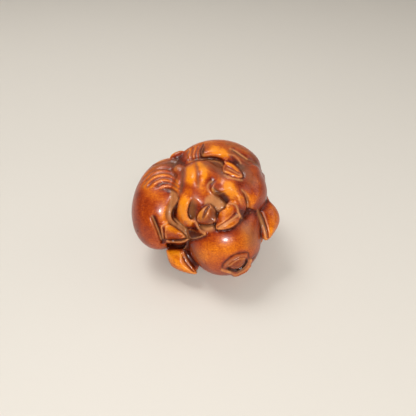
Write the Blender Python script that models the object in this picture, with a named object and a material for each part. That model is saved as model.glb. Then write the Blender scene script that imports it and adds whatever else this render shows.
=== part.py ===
"""A group of curled pigs carved as one ball from one block of boxwood.

The ball is laid out in forty-fifths of its width, so at the real width of 45 mm a number below
is a millimetre, unless it is a mark. Marks are pixel places in the 416 by 416 photograph of the
carving, picked by hand, and they lay out the relief as one eye sees it that looks down on the
ball. Some places on the far side are given as headings out of the middle instead.
"""
import math

import bmesh
import bpy
import numpy as np
from mathutils import Matrix, Vector
from mathutils.bvhtree import BVHTree

# Driving dimensions.
WIDTH = 0.045
UNIT = WIDTH / 45.0
MIDDLE = Vector((0.0, 0.0, 16.0))
# The side that the carving shows leans back this many degrees from upright.
LEAN = 38.0
# Cell of the skin that is grown over the rounded forms, and the facets of the finished solid.
CELL = 0.42
SOLID_TRIANGLES = 9400


def clear_scene():
    for thing in list(bpy.data.objects):
        bpy.data.objects.remove(thing)


def heading(across, up, lean):
    """Direction out of the middle: degrees right and degrees up from straight ahead."""
    a = math.radians(across)
    u = math.radians(up)
    ahead = math.cos(a) * math.cos(u)
    rise = math.sin(u)
    tip = Matrix.Rotation(math.radians(-lean), 3, "X")
    return tip @ Vector((math.sin(a) * math.cos(u), -ahead, rise))


def frame_of(long, face):
    """A rotation whose columns are the long axis, the width axis and the way the face looks."""
    u = Vector(long).normalized()
    n = Vector(face)
    n = (n - n.dot(u) * u).normalized()
    return Matrix((u, n.cross(u), n)).transposed()


def turned(about_x, about_y, about_z):
    """A rotation in degrees, about x first and z last."""
    x = Matrix.Rotation(math.radians(about_x), 3, "X")
    y = Matrix.Rotation(math.radians(about_y), 3, "Y")
    z = Matrix.Rotation(math.radians(about_z), 3, "Z")
    return z @ y @ x


def flow(points, per=6):
    """A smooth curve through rows of numbers."""
    p = np.asarray(points, float)
    q = np.vstack([2 * p[0] - p[1], p, 2 * p[-1] - p[-2]])
    rows = []
    for i in range(len(p) - 1):
        a, b, c, d = q[i:i + 4]
        for t in np.arange(per) / per:
            bend = (2 * a - 5 * b + 4 * c - d) * t ** 2 + (3 * b - a - 3 * c + d) * t ** 3
            rows.append(0.5 * (2 * b + (c - a) * t + bend))
    rows.append(p[-1])
    return np.array(rows)


def ball(centre, radii, turn=None, fine=4):
    """A rounded form: a sphere drawn out to three radii and turned."""
    shape = bmesh.new()
    place = Matrix.Translation(Vector(centre))
    if turn is not None:
        place = place @ turn.to_4x4()
    place = place @ Matrix.Diagonal((*radii, 1.0))
    bmesh.ops.create_icosphere(shape, subdivisions=fine, radius=1.0, matrix=place)
    return shape


def limb(rows):
    """A round limb swept along rows of x, y, z, radius, with rounded ends."""
    data = bpy.data.curves.new("limb", "CURVE")
    data.dimensions = "3D"
    data.bevel_depth = 1.0
    data.bevel_resolution = 6
    data.use_fill_caps = True
    line = data.splines.new("POLY")
    line.points.add(len(rows) - 1)
    for point, row in zip(line.points, rows):
        point.co = (row[0], row[1], row[2], 1.0)
        point.radius = row[3]
    thing = bpy.data.objects.new("limb", data)
    bpy.context.collection.objects.link(thing)
    swept = bpy.data.meshes.new_from_object(thing.evaluated_get(bpy.context.evaluated_depsgraph_get()))
    shape = bmesh.new()
    shape.from_mesh(swept)
    bpy.data.objects.remove(thing)
    bpy.data.meshes.remove(swept)
    for row in (rows[0], rows[-1]):
        place = Matrix.Translation(row[:3]) @ Matrix.Scale(row[3], 4)
        bmesh.ops.create_icosphere(shape, subdivisions=3, radius=1.0, matrix=place)
    return shape


def fuse(shapes, cell, soften):
    """Grows separate closed forms into one skin, then rubs it down by a number of strokes."""
    data = bpy.data.meshes.new("fused")
    whole = bmesh.new()
    for shape in shapes:
        if isinstance(shape, bpy.types.Mesh):
            whole.from_mesh(shape)
            continue
        piece = bpy.data.meshes.new("piece")
        shape.to_mesh(piece)
        shape.free()
        whole.from_mesh(piece)
        bpy.data.meshes.remove(piece)
    whole.to_mesh(data)
    whole.free()
    thing = bpy.data.objects.new("fused", data)
    bpy.context.collection.objects.link(thing)
    skin = thing.modifiers.new("skin", "REMESH")
    skin.mode = "VOXEL"
    skin.voxel_size = cell
    skin.adaptivity = 0.0
    if soften:
        rub = thing.modifiers.new("rub", "SMOOTH")
        rub.factor = 0.5
        rub.iterations = soften
    fused = bpy.data.meshes.new_from_object(thing.evaluated_get(bpy.context.evaluated_depsgraph_get()))
    bpy.data.objects.remove(thing)
    bpy.data.meshes.remove(data)
    return fused


def points_of(mesh):
    spots = np.empty(len(mesh.vertices) * 3)
    mesh.vertices.foreach_get("co", spots)
    return spots.reshape(-1, 3)


def normals_of(mesh):
    ways = np.empty(len(mesh.vertices) * 3)
    mesh.vertices.foreach_get("normal", ways)
    return ways.reshape(-1, 3)


def move_to(mesh, spots):
    mesh.vertices.foreach_set("co", spots.ravel())
    mesh.update()


class Ball:
    """The ball's surface, for laying forms and cuts on it."""

    def __init__(self, mesh):
        spots = [v.co.copy() for v in mesh.vertices]
        faces = [tuple(f.vertices) for f in mesh.polygons]
        self.tree = BVHTree.FromPolygons(spots, faces)

    def spot(self, across, up, lift, lean):
        """The place and the outward way of the surface along a heading, raised by a lift."""
        way = heading(across, up, lean)
        hit, normal, _, _ = self.tree.ray_cast(MIDDLE + way * 60.0, -way)
        return hit + way * lift, normal

    def rows(self, stations, lean=LEAN):
        """Rows of x, y, z, radius from stations of across, up, lift, radius."""
        found = []
        for across, up, lift, radius in stations:
            found.append([*self.spot(across, up, lift, lean)[0], radius])
        return flow(found, 5)

    def route(self, stations, lean=LEAN):
        """A line on the surface from stations of across and up."""
        return flow([list(self.spot(a, u, 0.0, lean)[0]) for a, u in stations], 5)


def reach_of(spots, line, width):
    """Which points are near a line, how far each is from it and how far along it."""
    middle = (line.min(0) + line.max(0)) / 2
    size = np.linalg.norm(line - middle, axis=1).max() + width
    near = np.where(np.linalg.norm(spots - middle, axis=1) < size)[0]
    p = spots[near]
    best = np.full(len(near), 1e9)
    part = np.zeros(len(near))
    for i in range(len(line) - 1):
        step = line[i + 1] - line[i]
        h = np.clip((p - line[i]) @ step / max(step @ step, 1e-12), 0, 1)
        gap = np.linalg.norm(p - line[i] - h[:, None] * step, axis=1)
        closer = gap < best
        best[closer] = gap[closer]
        part[closer] = (i + h[closer]) / (len(line) - 1)
    return near, best, part


def cut(mesh, line, width, depth, ends=0.25):
    """Gouges a rounded valley along a line, running out at both ends."""
    spots = points_of(mesh)
    near, gap, part = reach_of(spots, line, 2.6 * width)
    fade = np.clip(np.minimum(part, 1 - part) / ends, 0, 1)
    fade = fade * fade * (3 - 2 * fade)
    sink = depth * fade * np.exp(-(gap / width) ** 2)
    spots[near] -= normals_of(mesh)[near] * sink[:, None]
    move_to(mesh, spots)


def press(mesh, centre, frame, radii, depth):
    """Presses a rounded hollow into the face of an oval patch."""
    spots = points_of(mesh)
    q = (spots - np.array(centre)) @ np.array(frame)
    r = np.sqrt((q[:, 0] / radii[0]) ** 2 + (q[:, 1] / radii[1]) ** 2 + (q[:, 2] / radii[2]) ** 2)
    fall = np.clip(1 - r * r, 0, 1)
    spots -= np.array(frame.col[2])[None, :] * (depth * fall * fall * (3 - 2 * fall))[:, None]
    move_to(mesh, spots)


# The eye that the marks belong to. A mark counts pixels right and down over the photograph.
EYE_AWAY = 138.7
MARKS_PER_SLOPE = 450.0
STRAIGHT_ON = (208.0, 208.0)
MIDDLE_MARK = (205.0, 207.0)
ASIDE = Vector((1.0, 0.0, 0.0))
AHEAD = Vector((0.0, math.cos(math.radians(LEAN)), -math.sin(math.radians(LEAN))))
ABOVE = Vector((0.0, math.sin(math.radians(LEAN)), math.cos(math.radians(LEAN))))


def sight(mark):
    """The way from the eye through a mark."""
    right = (float(mark[0]) - STRAIGHT_ON[0]) / MARKS_PER_SLOPE
    down = (float(mark[1]) - STRAIGHT_ON[1]) / MARKS_PER_SLOPE
    return AHEAD + right * ASIDE - down * ABOVE


EYE = MIDDLE - EYE_AWAY * sight(MIDDLE_MARK)


def gap_to(marks, line):
    """Distance of marks from a drawn line, the side they lie on and how far along it they are."""
    best = np.full(len(marks), 1e9)
    side = np.ones(len(marks))
    part = np.zeros(len(marks))
    for i in range(len(line) - 1):
        step = line[i + 1] - line[i]
        w = marks - line[i]
        h = np.clip(w @ step / max(step @ step, 1e-12), 0, 1)
        gap = np.hypot(w[:, 0] - h * step[0], w[:, 1] - h * step[1])
        closer = gap < best
        best[closer] = gap[closer]
        part[closer] = (i + h[closer]) / (len(line) - 1)
        side[closer] = np.sign(step[0] * w[closer, 1] - step[1] * w[closer, 0])
    return best, side, part


def within(marks, outline):
    """Distance of marks inside a closed outline, less than nothing outside it."""
    best = np.full(len(marks), 1e9)
    inside = np.zeros(len(marks), bool)
    for i in range(len(outline)):
        a = outline[i - 1]
        b = outline[i]
        step = b - a
        w = marks - a
        h = np.clip(w @ step / max(step @ step, 1e-12), 0, 1)
        best = np.minimum(best, np.hypot(w[:, 0] - h * step[0], w[:, 1] - h * step[1]))
        across = (a[1] > marks[:, 1]) != (b[1] > marks[:, 1])
        rise = b[1] - a[1] if b[1] != a[1] else 1e-9
        inside ^= across & (marks[:, 0] < a[0] + (marks[:, 1] - a[1]) / rise * step[0])
    return np.where(inside, best, -best)


def ring(points):
    """A smooth closed outline through marks."""
    return flow([*points[-2:], *points, *points[:2]], 4)[8:-9]


def ease(t):
    """Goes smoothly from nothing to one as t does."""
    t = np.clip(t, 0, 1)
    return t * t * (3 - 2 * t)


def rounded(t, full=0.5):
    """Rises from nothing and levels off at one: as a quarter circle at 0.5, gentler above that."""
    return (1 - (1 - np.clip(t, 0, 1)) ** 2) ** full


def links_of(mesh):
    """The two ends of every edge."""
    ends = np.empty(len(mesh.edges) * 2, dtype=np.int64)
    mesh.edges.foreach_get("vertices", ends)
    return ends.reshape(-1, 2)


class Shown:
    """The side of a skin that faces the eye, carved in relief by marks."""

    def __init__(self, mesh):
        self.mesh = mesh
        self.ends = links_of(mesh)
        spots = points_of(mesh)
        some = self.ends[::50]
        self.edge = float(np.median(np.linalg.norm(spots[some[:, 0]] - spots[some[:, 1]], axis=1)))
        self.look()

    def evened(self, values, chosen, free, spread):
        """Values at chosen points averaged with their neighbours over about this many units."""
        order = np.full(len(self.spots), -1)
        order[self.near[chosen]] = np.arange(len(chosen))
        ends = order[self.ends]
        ends = ends[(ends >= 0).all(1)]
        a = ends[:, 0]
        b = ends[:, 1]
        count = len(chosen)
        friends = np.bincount(a, minlength=count) + np.bincount(b, minlength=count) + 1.0
        for _ in range(round(4.0 * (spread / self.edge) ** 2)):
            total = values + np.bincount(a, values[b], count) + np.bincount(b, values[a], count)
            values = np.where(free, total / friends, values)
        return values

    def look(self):
        """Works out the mark that every point of the near side falls on."""
        self.spots = points_of(self.mesh)
        ways = normals_of(self.mesh)
        sights = self.spots - np.array(EYE)
        deep = sights @ np.array(AHEAD)
        toward = -sights / np.linalg.norm(sights, axis=1)[:, None]
        facing = (toward * ways).sum(1)
        self.near = np.where((facing > -0.3) & (deep < EYE_AWAY + 6.0))[0]
        deep = deep[self.near]
        right = sights[self.near] @ np.array(ASIDE)
        rise = sights[self.near] @ np.array(ABOVE)
        self.marks = np.stack([STRAIGHT_ON[0] + MARKS_PER_SLOPE * right / deep,
                               STRAIGHT_ON[1] - MARKS_PER_SLOPE * rise / deep], 1)
        self.mark_size = deep / MARKS_PER_SLOPE
        share = np.clip(facing[self.near] / 0.5, 0.25, 1)[:, None]
        push = share * toward[self.near] + (1 - share) * ways[self.near]
        self.push = push / np.linalg.norm(push, axis=1)[:, None]

    def lift(self, chosen, amount):
        """Moves chosen points of the near side towards the eye."""
        self.spots[self.near[chosen]] += self.push[chosen] * amount[:, None]
        move_to(self.mesh, self.spots)
        self.look()

    def close_to(self, line, reach):
        """Which points have marks in the box round a line, widened by a reach."""
        low = line.min(0) - reach
        high = line.max(0) + reach
        return np.where(((self.marks > low) & (self.marks < high)).all(1))[0]

    def step(self, points, rise, shoulder, reach, sink, drop, ends=(0.15, 0.15)):
        """A carved edge with its high ground on the right hand as the line is drawn."""
        line = flow(points, 5)
        chosen = self.close_to(line, 4.2 * max(reach, drop))
        gap, side, part = gap_to(self.marks[chosen], line)
        gap = gap * self.mark_size[chosen]
        fade = ease(part / max(ends[0], 1e-6)) * ease((1 - part) / max(ends[1], 1e-6))
        up = rise * rounded(gap / shoulder) * (1 - ease((gap - shoulder) / max(reach - shoulder, 1e-6)))
        down = -sink * (1 - ease(gap / drop))
        self.lift(chosen, np.where(side > 0, up, down) * fade)

    def brow(self, edge, back, rise, shoulder, soft, sink, drop, full=0.5, ends=(0.15, 0.15)):
        """A mass with one carved edge that stands over lower ground and dies away at its back."""
        edge = flow(edge, 5)
        back = flow([edge[-1], *back, edge[0]], 5)
        outline = np.vstack([edge, back[1:-1]])
        chosen = self.close_to(outline, 4.0 * drop)
        marks = self.marks[chosen]
        size = self.mark_size[chosen]
        inside = within(marks, outline) > 0
        gap, _, part = gap_to(marks, edge)
        behind = gap_to(marks, back)[0]
        up = rise * rounded(gap * size / shoulder, full) * ease(behind * size / soft)
        fade = ease(part / ends[0]) * ease((1 - part) / ends[1]) * (gap <= behind + 0.01)
        down = -sink * (1 - ease(gap * size / drop)) * fade
        self.lift(chosen, np.where(inside, up, down))

    def swell(self, points, half, height, full=0.7, ends=(0.2, 0.2)):
        """A rounded ridge along a line; half its width may differ at each mark."""
        line = flow(points, 5)
        halves = np.interp(np.linspace(0, 1, len(line)), np.linspace(0, 1, np.size(half)), np.ravel(half))
        chosen = self.close_to(line, 4.2 * float(np.max(half)))
        gap, _, part = gap_to(self.marks[chosen], line)
        wide = np.interp(part, np.linspace(0, 1, len(line)), halves)
        t = np.clip(1 - (gap * self.mark_size[chosen] / wide) ** 2, 0, 1)
        fade = ease(part / max(ends[0], 1e-6)) * ease((1 - part) / max(ends[1], 1e-6))
        self.lift(chosen, height * fade * t ** full)

    def groove(self, points, width, depth, ends=(0.15, 0.15)):
        """A rounded groove along a line."""
        line = flow(points, 5)
        chosen = self.close_to(line, 10.0 * width)
        gap, _, part = gap_to(self.marks[chosen], line)
        fade = ease(part / max(ends[0], 1e-6)) * ease((1 - part) / max(ends[1], 1e-6))
        self.lift(chosen, -depth * fade * np.exp(-(gap * self.mark_size[chosen] / width) ** 2))

    def boss(self, points, height, shoulder, trench=0.5):
        """A rounded form raised on smoothed ground inside an outline, with a thin trench round it."""
        outline = ring(points)
        chosen = self.close_to(outline, 2.0)
        inside = within(self.marks[chosen], outline) > 0
        ground = self.spots[self.near[chosen]]
        for k in range(3):
            ground[:, k] = self.evened(ground[:, k], chosen, inside, 1.5)
        self.spots[self.near[chosen]] = ground
        self.lift(chosen, np.zeros(len(chosen)))
        chosen = self.close_to(outline, 8.0)
        inside = within(self.marks[chosen], outline) * self.mark_size[chosen]
        up = height * rounded(inside / shoulder)
        down = -trench * np.exp(-(inside / 0.4) ** 2)
        up = self.evened(np.where(inside > 0, up, 0.0), chosen, inside > 0.45, 0.7)
        self.lift(chosen, np.where(inside > 0, up, down))

    def hollow(self, points, depth, wall):
        """A sunk floor inside an outline."""
        outline = ring(points)
        chosen = self.close_to(outline, 2.0)
        inside = within(self.marks[chosen], outline) * self.mark_size[chosen]
        self.lift(chosen, -depth * ease(inside / wall))


def leaf(points, middle, face, thick, bow=0.0):
    """A flap whose outline is drawn by marks: a lens with its rim on one plane."""
    face = Vector(face).normalized()
    middle = Vector(middle)
    rim = []
    for mark in ring(points):
        way = sight(mark)
        rim.append(EYE + way * ((middle - EYE).dot(face) / way.dot(face)))
    centre = sum(rim, Vector()) / len(rim)
    shape = bmesh.new()
    tops = []
    for sign in (1, -1):
        layers = []
        for s in (0.25, 0.5, 0.7, 0.85, 0.95):
            high = sign * thick / 2 * math.sqrt(1 - s ** 2.2) - bow * s * s
            layers.append([shape.verts.new(centre + s * (p - centre) + high * face) for p in rim])
        for inner, outer in zip(layers, layers[1:]):
            for i in range(len(rim)):
                shape.faces.new((inner[i - 1], inner[i], outer[i], outer[i - 1]))
        tip = shape.verts.new(centre + sign * thick / 2 * face)
        for i in range(len(rim)):
            shape.faces.new((tip, layers[0][i], layers[0][i - 1]))
        tops.append(layers[-1])
    edge = [shape.verts.new(p - bow * face) for p in rim]
    for layer in tops:
        for i in range(len(rim)):
            shape.faces.new((layer[i - 1], layer[i], edge[i], edge[i - 1]))
    bmesh.ops.recalc_face_normals(shape, faces=shape.faces)
    return shape


class Hoof:
    """A two-toed foot laid on the ball from its heel to its tip."""

    def __init__(self, surface, toe, heel, width, thick, lean=LEAN, tip=0.5):
        a, _ = surface.spot(*toe, lean)
        b, _ = surface.spot(*heel, lean)
        middle = (a + b) / 2
        way = (middle - MIDDLE).normalized()
        _, normal, _, _ = surface.tree.ray_cast(MIDDLE + way * 60.0, -way)
        self.centre = middle
        self.half = (a - b).length / 2
        self.frame = frame_of(a - b, normal)
        self.width = width / 2
        self.thick = thick
        self.tip = tip

    def form(self):
        """An almond that narrows to the tip, with a raised collar where the leg meets it."""
        shape = bmesh.new()
        bmesh.ops.create_icosphere(shape, subdivisions=5, radius=1.0)
        for v in shape.verts:
            x, y, z = v.co
            slim = 1.0 - self.tip * max(x, 0.0) ** 2 - 0.10 * max(-x, 0.0) ** 2
            collar = 0.25 * math.exp(-((x + 0.70) / 0.10) ** 2) / self.thick
            swell = slim + collar
            v.co = (x * self.half * 1.05, y * self.width * swell, z * self.thick * swell)
        bmesh.ops.transform(shape, matrix=self.frame.to_4x4(), verts=shape.verts)
        bmesh.ops.translate(shape, vec=self.centre, verts=shape.verts)
        return shape

    def cleave(self, mesh):
        """Cuts the slit between the two toes."""
        spots = points_of(mesh)
        q = (spots - np.array(self.centre)) @ np.array(self.frame)
        x = q[:, 0] / self.half
        run = np.clip((x + 0.8) / 0.35, 0, 1) * (x < 1.15)
        y = q[:, 1]
        on = (q[:, 2] > -0.3 * self.thick) & (q[:, 2] < self.thick + 0.6)
        sink = 0.65 * run * on * np.exp(-(y / 0.36) ** 2)
        spots -= normals_of(mesh) * sink[:, None]
        move_to(mesh, spots)


def ear(root, tip, face, width, thick):
    """A flop ear: a flattened leaf with a rounded point."""
    root = Vector(root)
    tip = Vector(tip)
    half = (tip - root).length / 2
    shape = bmesh.new()
    bmesh.ops.create_icosphere(shape, subdivisions=4, radius=1.0)
    for v in shape.verts:
        x, y, z = v.co
        slim = 1.0 - 0.42 * max(x, 0.0) ** 2
        v.co = (x * half * 1.04, y * width / 2 * slim, z * thick / 2 * math.sqrt(slim))
    bmesh.ops.transform(shape, matrix=frame_of(tip - root, face).to_4x4(), verts=shape.verts)
    bmesh.ops.translate(shape, vec=(root + tip) / 2, verts=shape.verts)
    return shape


class Snout:
    """A short muzzle that ends in a flat disc with two nostrils."""

    def __init__(self, root, tip, wide, narrow):
        self.root = Vector(root)
        self.tip = Vector(tip)
        self.way = (self.tip - self.root).normalized()
        self.side = self.way.cross(Vector((0.15, 0.2, 1.0))).normalized()
        self.wide = wide
        self.narrow = narrow

    def forms(self):
        length = (self.tip - self.root).length
        frame = frame_of(self.side, self.way)
        cone = bmesh.new()
        place = Matrix.Translation((self.root + self.tip) / 2) @ frame.to_4x4()
        bmesh.ops.create_cone(cone, cap_ends=True, segments=40, radius1=self.wide,
                              radius2=self.narrow * 0.88, depth=length, matrix=place)
        disc = bmesh.new()
        place = Matrix.Translation(self.tip + self.way * 0.25) @ frame.to_4x4()
        bmesh.ops.create_cone(disc, cap_ends=True, segments=40, radius1=self.narrow,
                              radius2=self.narrow * 0.94, depth=1.5, matrix=place)
        return [cone, disc]

    def pierce(self, mesh):
        """Presses the two nostrils into the disc."""
        lift = self.side.cross(self.way)
        frame = Matrix((self.side, lift, self.way)).transposed()
        for s in (-1, 1):
            spot = self.tip + self.way * 1.0 + self.side * s * 0.40 * self.narrow
            press(mesh, spot, frame, (0.8, 1.15, 1.2), 0.9)


# The big rounded bodies of the ball, as centre, radii and turn.
FRONT_HEAD = [((5.7, -10.5, 12.1), (10.9, 10.7, 10.7), None), ((7.8, -6.6, 15.0), (9.4, 9.4, 8.4), None)]
LEFT_HAUNCH = [((-12.2, 2.0, 16.0), (10.0, 15.2, 11.6), turned(24, 0, -14)),
               ((-9.0, 0.3, 21.2), (6.9, 8.8, 6.2), turned(20, 20, -10))]
TOP_BACK = [((3.9, 8.5, 20.1), (15.2, 12.6, 13.0), None)]
BELLY = [((-0.6, -2.0, 21.2), (10.3, 11.2, 10.8), None), ((10.0, 0.2, 21.6), (8.7, 10.5, 8.8), None),
         ((4.8, -1.0, 21.4), (9.4, 11.0, 9.8), None)]
UNDERSIDE = [((0.8, 1.6, 10.6), (15.5, 16.0, 11.4), None)]
RIGHT_RUMP = [((10.6, 6.5, 11.4), (9.0, 11.0, 9.2), turned(0, 0, 20))]
REAR_HEAD = [((-2.5, 12.6, 11.6), (10.6, 10.2, 10.4), None)]


def bodies(cell):
    """The bodies, each rubbed smooth by itself, then fused with a crease between them."""
    groups = (FRONT_HEAD, LEFT_HAUNCH, TOP_BACK, BELLY, UNDERSIDE, RIGHT_RUMP, REAR_HEAD)
    done = []
    for group in groups:
        rubs = round(3.0 / cell ** 2) if len(group) > 1 else 0
        done.append(fuse([ball(*row) for row in group], cell, rubs))
    return fuse(done, cell, 2)


# Limbs of the far side that swell out of the bodies, as headings on an upright ball:
# stations of across, up, lift and radius.
BACK_LEG = [(146, 18, -2.6, 3.6), (160, 18, -1.5, 3.2), (173, 15, -0.4, 2.6), (183, 10, 0.1, 2.2)]
RUMP_LEG = [(118, -6, -2.6, 3.6), (103, -13, -1.6, 3.2), (90, -20, -0.6, 2.6), (82, -24, 0.0, 2.2)]
TAIL = [(128, 10, -0.2, 1.1), (134, 0, 0.1, 1.15), (128, -9, 0.15, 1.1), (119, -5, 0.2, 1.0),
        (121, 2, 0.2, 0.85), (127, 0, 0.2, 0.7)]
# The mouth line under the front head: the route, then width, depth and how soon the ends run out.
MOUTH = ([(-12, -40), (0, -38), (12, -36), (24, -33), (33, -25)], 0.55, 0.8, 0.25)

# The far side isn't in the photograph. Its marks are made up, and are used in the same way once
# the carving is turned half round.
HALF_ROUND = Matrix.Rotation(math.pi, 4, "Z")
FAR_FOLDS = [
    [(237, 190), (246, 188.5), (256, 191), (265, 197)],
    [(238, 198), (247, 197.5), (257, 200.5), (265, 207)],
    [(239, 206), (248, 206.5), (257, 210), (264, 216)],
    [(240.5, 214), (249, 215.5), (257, 220), (262, 226)],
    [(243, 223), (250, 225.5), (256, 230)],
]
RUMP_FOLDS = [
    [(150, 200), (153, 210), (152, 222)],
    [(156.5, 199), (159.5, 209), (159, 220)],
]
BACK_VALLEY = [(236.5, 178), (236, 190), (234.5, 203), (233, 216), (235, 229), (240, 240)]
SPINE = [(148, 181), (160, 172), (176, 167), (192, 167), (206, 171.5)]
LEG_UNDER = [(214, 254.5), (206, 253), (196, 249.5), (184, 245.5), (170, 240.5), (156, 234)]
LEG_OVER = [(156, 215), (170, 221), (184, 227.5), (197, 233.5), (207, 237), (213, 236.5)]
FAR_COLLAR = [(213, 236.5), (209.5, 241), (208.7, 247), (211, 252.5), (214, 255.5)]
FAR_EYE_PIT = [(210, 269.5), (214, 266.3), (220.5, 265.3), (226.5, 267.8), (224, 272), (218, 274), (212, 273)]
FAR_EYE_BALL = [(213.5, 269.5), (217, 267.6), (222, 267.8), (223.5, 270), (219.5, 272), (215, 272)]
FAR_LID = [(206.5, 271), (209.5, 266), (215, 263.3), (222, 262.6), (228, 265), (231, 269)]
SNOUT_FOLDS = [[(232.5, 254), (236.5, 258), (238, 263)], [(236, 252), (240.5, 256.5), (242, 261)]]

# From here on the forms of the shown side, by marks.
# Where the haunch, the nape and the belly run together.
# Each mark has how deep under the skin the filling lies.
SADDLE = [(176.5, 163.5, 1.9), (178.3, 166.5, 2.1), (179, 169, 2.5), (180, 172, 3.2)]
# The deep valley between the left haunch and the foreleg, and the ledge on its left bank.
VALLEY = [(178, 196), (176.5, 200), (173.5, 205), (171.5, 210), (170.5, 215), (171.5, 219.5), (175, 223),
          (180, 226.5), (185, 231), (188.5, 236), (190, 233), (187, 228.5), (183, 225), (179, 221),
          (176.8, 217.5), (176.8, 212), (177.7, 207), (179, 201), (180.5, 195), (180, 192)]
LEDGE = [(171, 191), (175, 192), (178, 195), (178.5, 199), (176, 203), (173.5, 207), (171.8, 211),
         (171, 216), (172, 219.5), (175, 222.5), (181, 226.5), (186, 231), (190, 238), (186.5, 237.5),
         (184, 233.5), (179.5, 229.5), (173.5, 226), (169, 223), (166.3, 219), (165.3, 214), (166.3, 209),
         (168, 204.5), (169.5, 200), (170, 195)]
# Each fold of the haunch runs from the outer left over the top and down to the belly.
HAUNCH_FOLDS = [
    [(140.5, 183), (146, 176), (152, 171.3), (158, 169.3), (165, 168.8), (170, 170), (174, 173),
     (177.5, 177.5)],
    [(142.5, 187.5), (146.5, 181.5), (151, 177), (156, 174.3), (162, 172.9), (168, 173.3), (173, 175.8),
     (177.8, 180.5)],
    [(147, 188), (151, 183), (156, 179.7), (161, 178), (167, 178.1), (172, 180.3), (177.8, 184.5)],
    [(155, 187.8), (159, 185), (163, 183.3), (168, 183), (173, 185), (177.8, 188.5)],
    [(160, 190.2), (165, 189.3), (170, 189.5), (174, 191), (177.5, 194)],
]
HAUNCH_RIDGES = [
    [(144, 186.5), (148, 181.5), (153, 177.5), (158, 175.3), (163, 174.8), (169, 175.5), (174, 178),
     (178, 182)],
    [(151, 187), (155, 183.3), (159, 181), (164, 180), (170, 181), (175, 184), (178.3, 186.8)],
    [(161, 188), (164, 186.7), (169, 186), (174, 187.7), (177.8, 190.8)],
]
NAPE_FOLDS = [
    [(188.5, 149.5), (187, 154), (187.5, 160)],
    [(193.5, 147), (191.6, 152), (191, 156.5), (192, 160)],
    [(199, 145.8), (197, 150), (196, 155), (197, 159.5)],
    [(203.5, 143.3), (200.6, 147.5), (199.5, 152), (199.8, 157), (201, 159.3)],
]
FORELEG = [(187, 192), (184.5, 198), (182.8, 205), (182.3, 212), (184, 218.5), (189, 223), (193, 224.5)]
POCKET = [(193, 197), (190, 203), (188.3, 208), (187.8, 213), (189, 217.5), (192.5, 220.5)]
SHANK = [(227, 205.5), (224.5, 201.5), (221, 198.5), (217, 196), (213, 193), (211, 190), (211.5, 187),
         (214, 183), (218, 180)]
SHANK_BODY = [(222, 175), (232, 172), (242, 176), (250, 186), (253, 196), (251, 206), (248, 213), (243, 218),
              (238, 216), (232, 210)]
SHANK_BACK = [(241, 191), (244, 197), (246, 203), (246.5, 208), (245, 213), (241.5, 219)]
NOTCH = [(240, 188.5), (243, 189.5), (246, 193.5), (248.5, 199), (249, 206), (247.5, 208.5),
         (246.5, 204), (244.5, 198), (241.5, 192.5)]
RUMP_FOOT = [(257, 210.5), (251, 208.8), (247, 207.2)]
TOP_THIGH = [(227, 160.5), (222, 159), (218, 157.8), (212, 157), (206, 157.3), (203, 157.5), (201, 156),
             (200, 153), (200.5, 149), (203, 145), (206, 142)]
THIGH_BODY = [(212, 139.5), (221, 142), (229, 147), (233, 154), (231, 160)]
BELLY_BODY = [(222, 178), (214, 188), (200, 191), (187, 188), (180, 178)]
FOLD_BODY = [(263, 187), (252, 184), (241, 173), (232, 161), (226, 153)]
RUMP_BODY = [(248, 200), (250, 193), (258, 189), (267, 194), (263, 203)]
# The belly's two soft swellings with the crease between them, and the valley on their left.
BELLY_LEFT = [(190, 163), (190.5, 175), (190, 188)]
BELLY_RIGHT = [(203, 163), (204, 172), (203.5, 183)]
BELLY_CREASE = [(196, 163), (197.5, 170), (198, 178), (198.5, 187)]
BELLY_VALLEY = [(183.5, 166), (182.5, 174), (181.5, 184), (180.5, 193)]
BELLY_RIM = [(187, 161.8), (192, 160.8), (200, 160.3), (210, 160), (217, 160.8), (221.5, 163), (223, 167)]
BACK_FOLD = [(229, 149), (234, 151.5), (240, 155.5), (246, 159.5), (252, 162.5), (258, 166.5),
             (262, 171), (264.5, 176)]
BACK_CREASE = [(229, 151), (236, 153.8), (241, 157.6), (246, 161.8), (250, 165)]
BACK_DIP = [(230, 155.5), (236, 159), (240.5, 164), (243.8, 171)]
HAUNCH_CREASE = [(152, 213.5), (154.5, 219), (157, 225.5), (159.5, 232), (161.5, 238), (164, 244)]

# Hooves: the outline of the horn, its height and shoulder, then the slit between the toes.
HOOF_FRONT = [(226, 207), (230, 205), (234, 206), (237, 211), (240, 217), (240, 220.5), (237, 224.5),
              (232, 228), (226, 229.8), (219, 230.3), (216, 229), (215.2, 226), (215.8, 221), (217, 216),
              (219, 212), (222, 209.5)]
HOOF_FRONT_COLLAR = [(225, 207.5), (229, 204), (234, 203.5), (237, 207), (239, 213), (241.5, 218.5)]
HOOF_FRONT_SLIT = [(237, 211.5), (232, 217), (226, 221.8), (220, 225.8), (216.5, 228)]
HOOF_FRONT_GAP = [(237.5, 212.5), (239.5, 216.5), (236, 219), (230, 222.5), (223, 226.3), (218, 228),
                  (221, 225.8), (227, 221.8), (233, 217)]
HOOF_MIDDLE = [(209, 204.3), (212, 205.5), (215, 209), (216.5, 213), (216.5, 219), (215, 223),
               (210, 224.5), (204, 224.8), (199, 223.5), (196.8, 221), (196.3, 217.5), (198, 213.5),
               (201, 209.5), (205, 206)]
HOOF_MIDDLE_SLIT = [(210, 205), (207, 209), (204.3, 214.5), (202.5, 219.5)]
HOOF_FORE = [(188, 228.5), (193, 228.8), (198, 231), (203, 232.8), (207.3, 234.7), (204, 236.6),
             (200, 238.3), (195, 239.5), (190.5, 239.3), (188.5, 236), (187.5, 232)]
HOOF_FORE_COLLAR = [(193.5, 220.5), (196, 223), (197.5, 227), (200, 230.5), (204, 232.3), (207, 233.5)]
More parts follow.
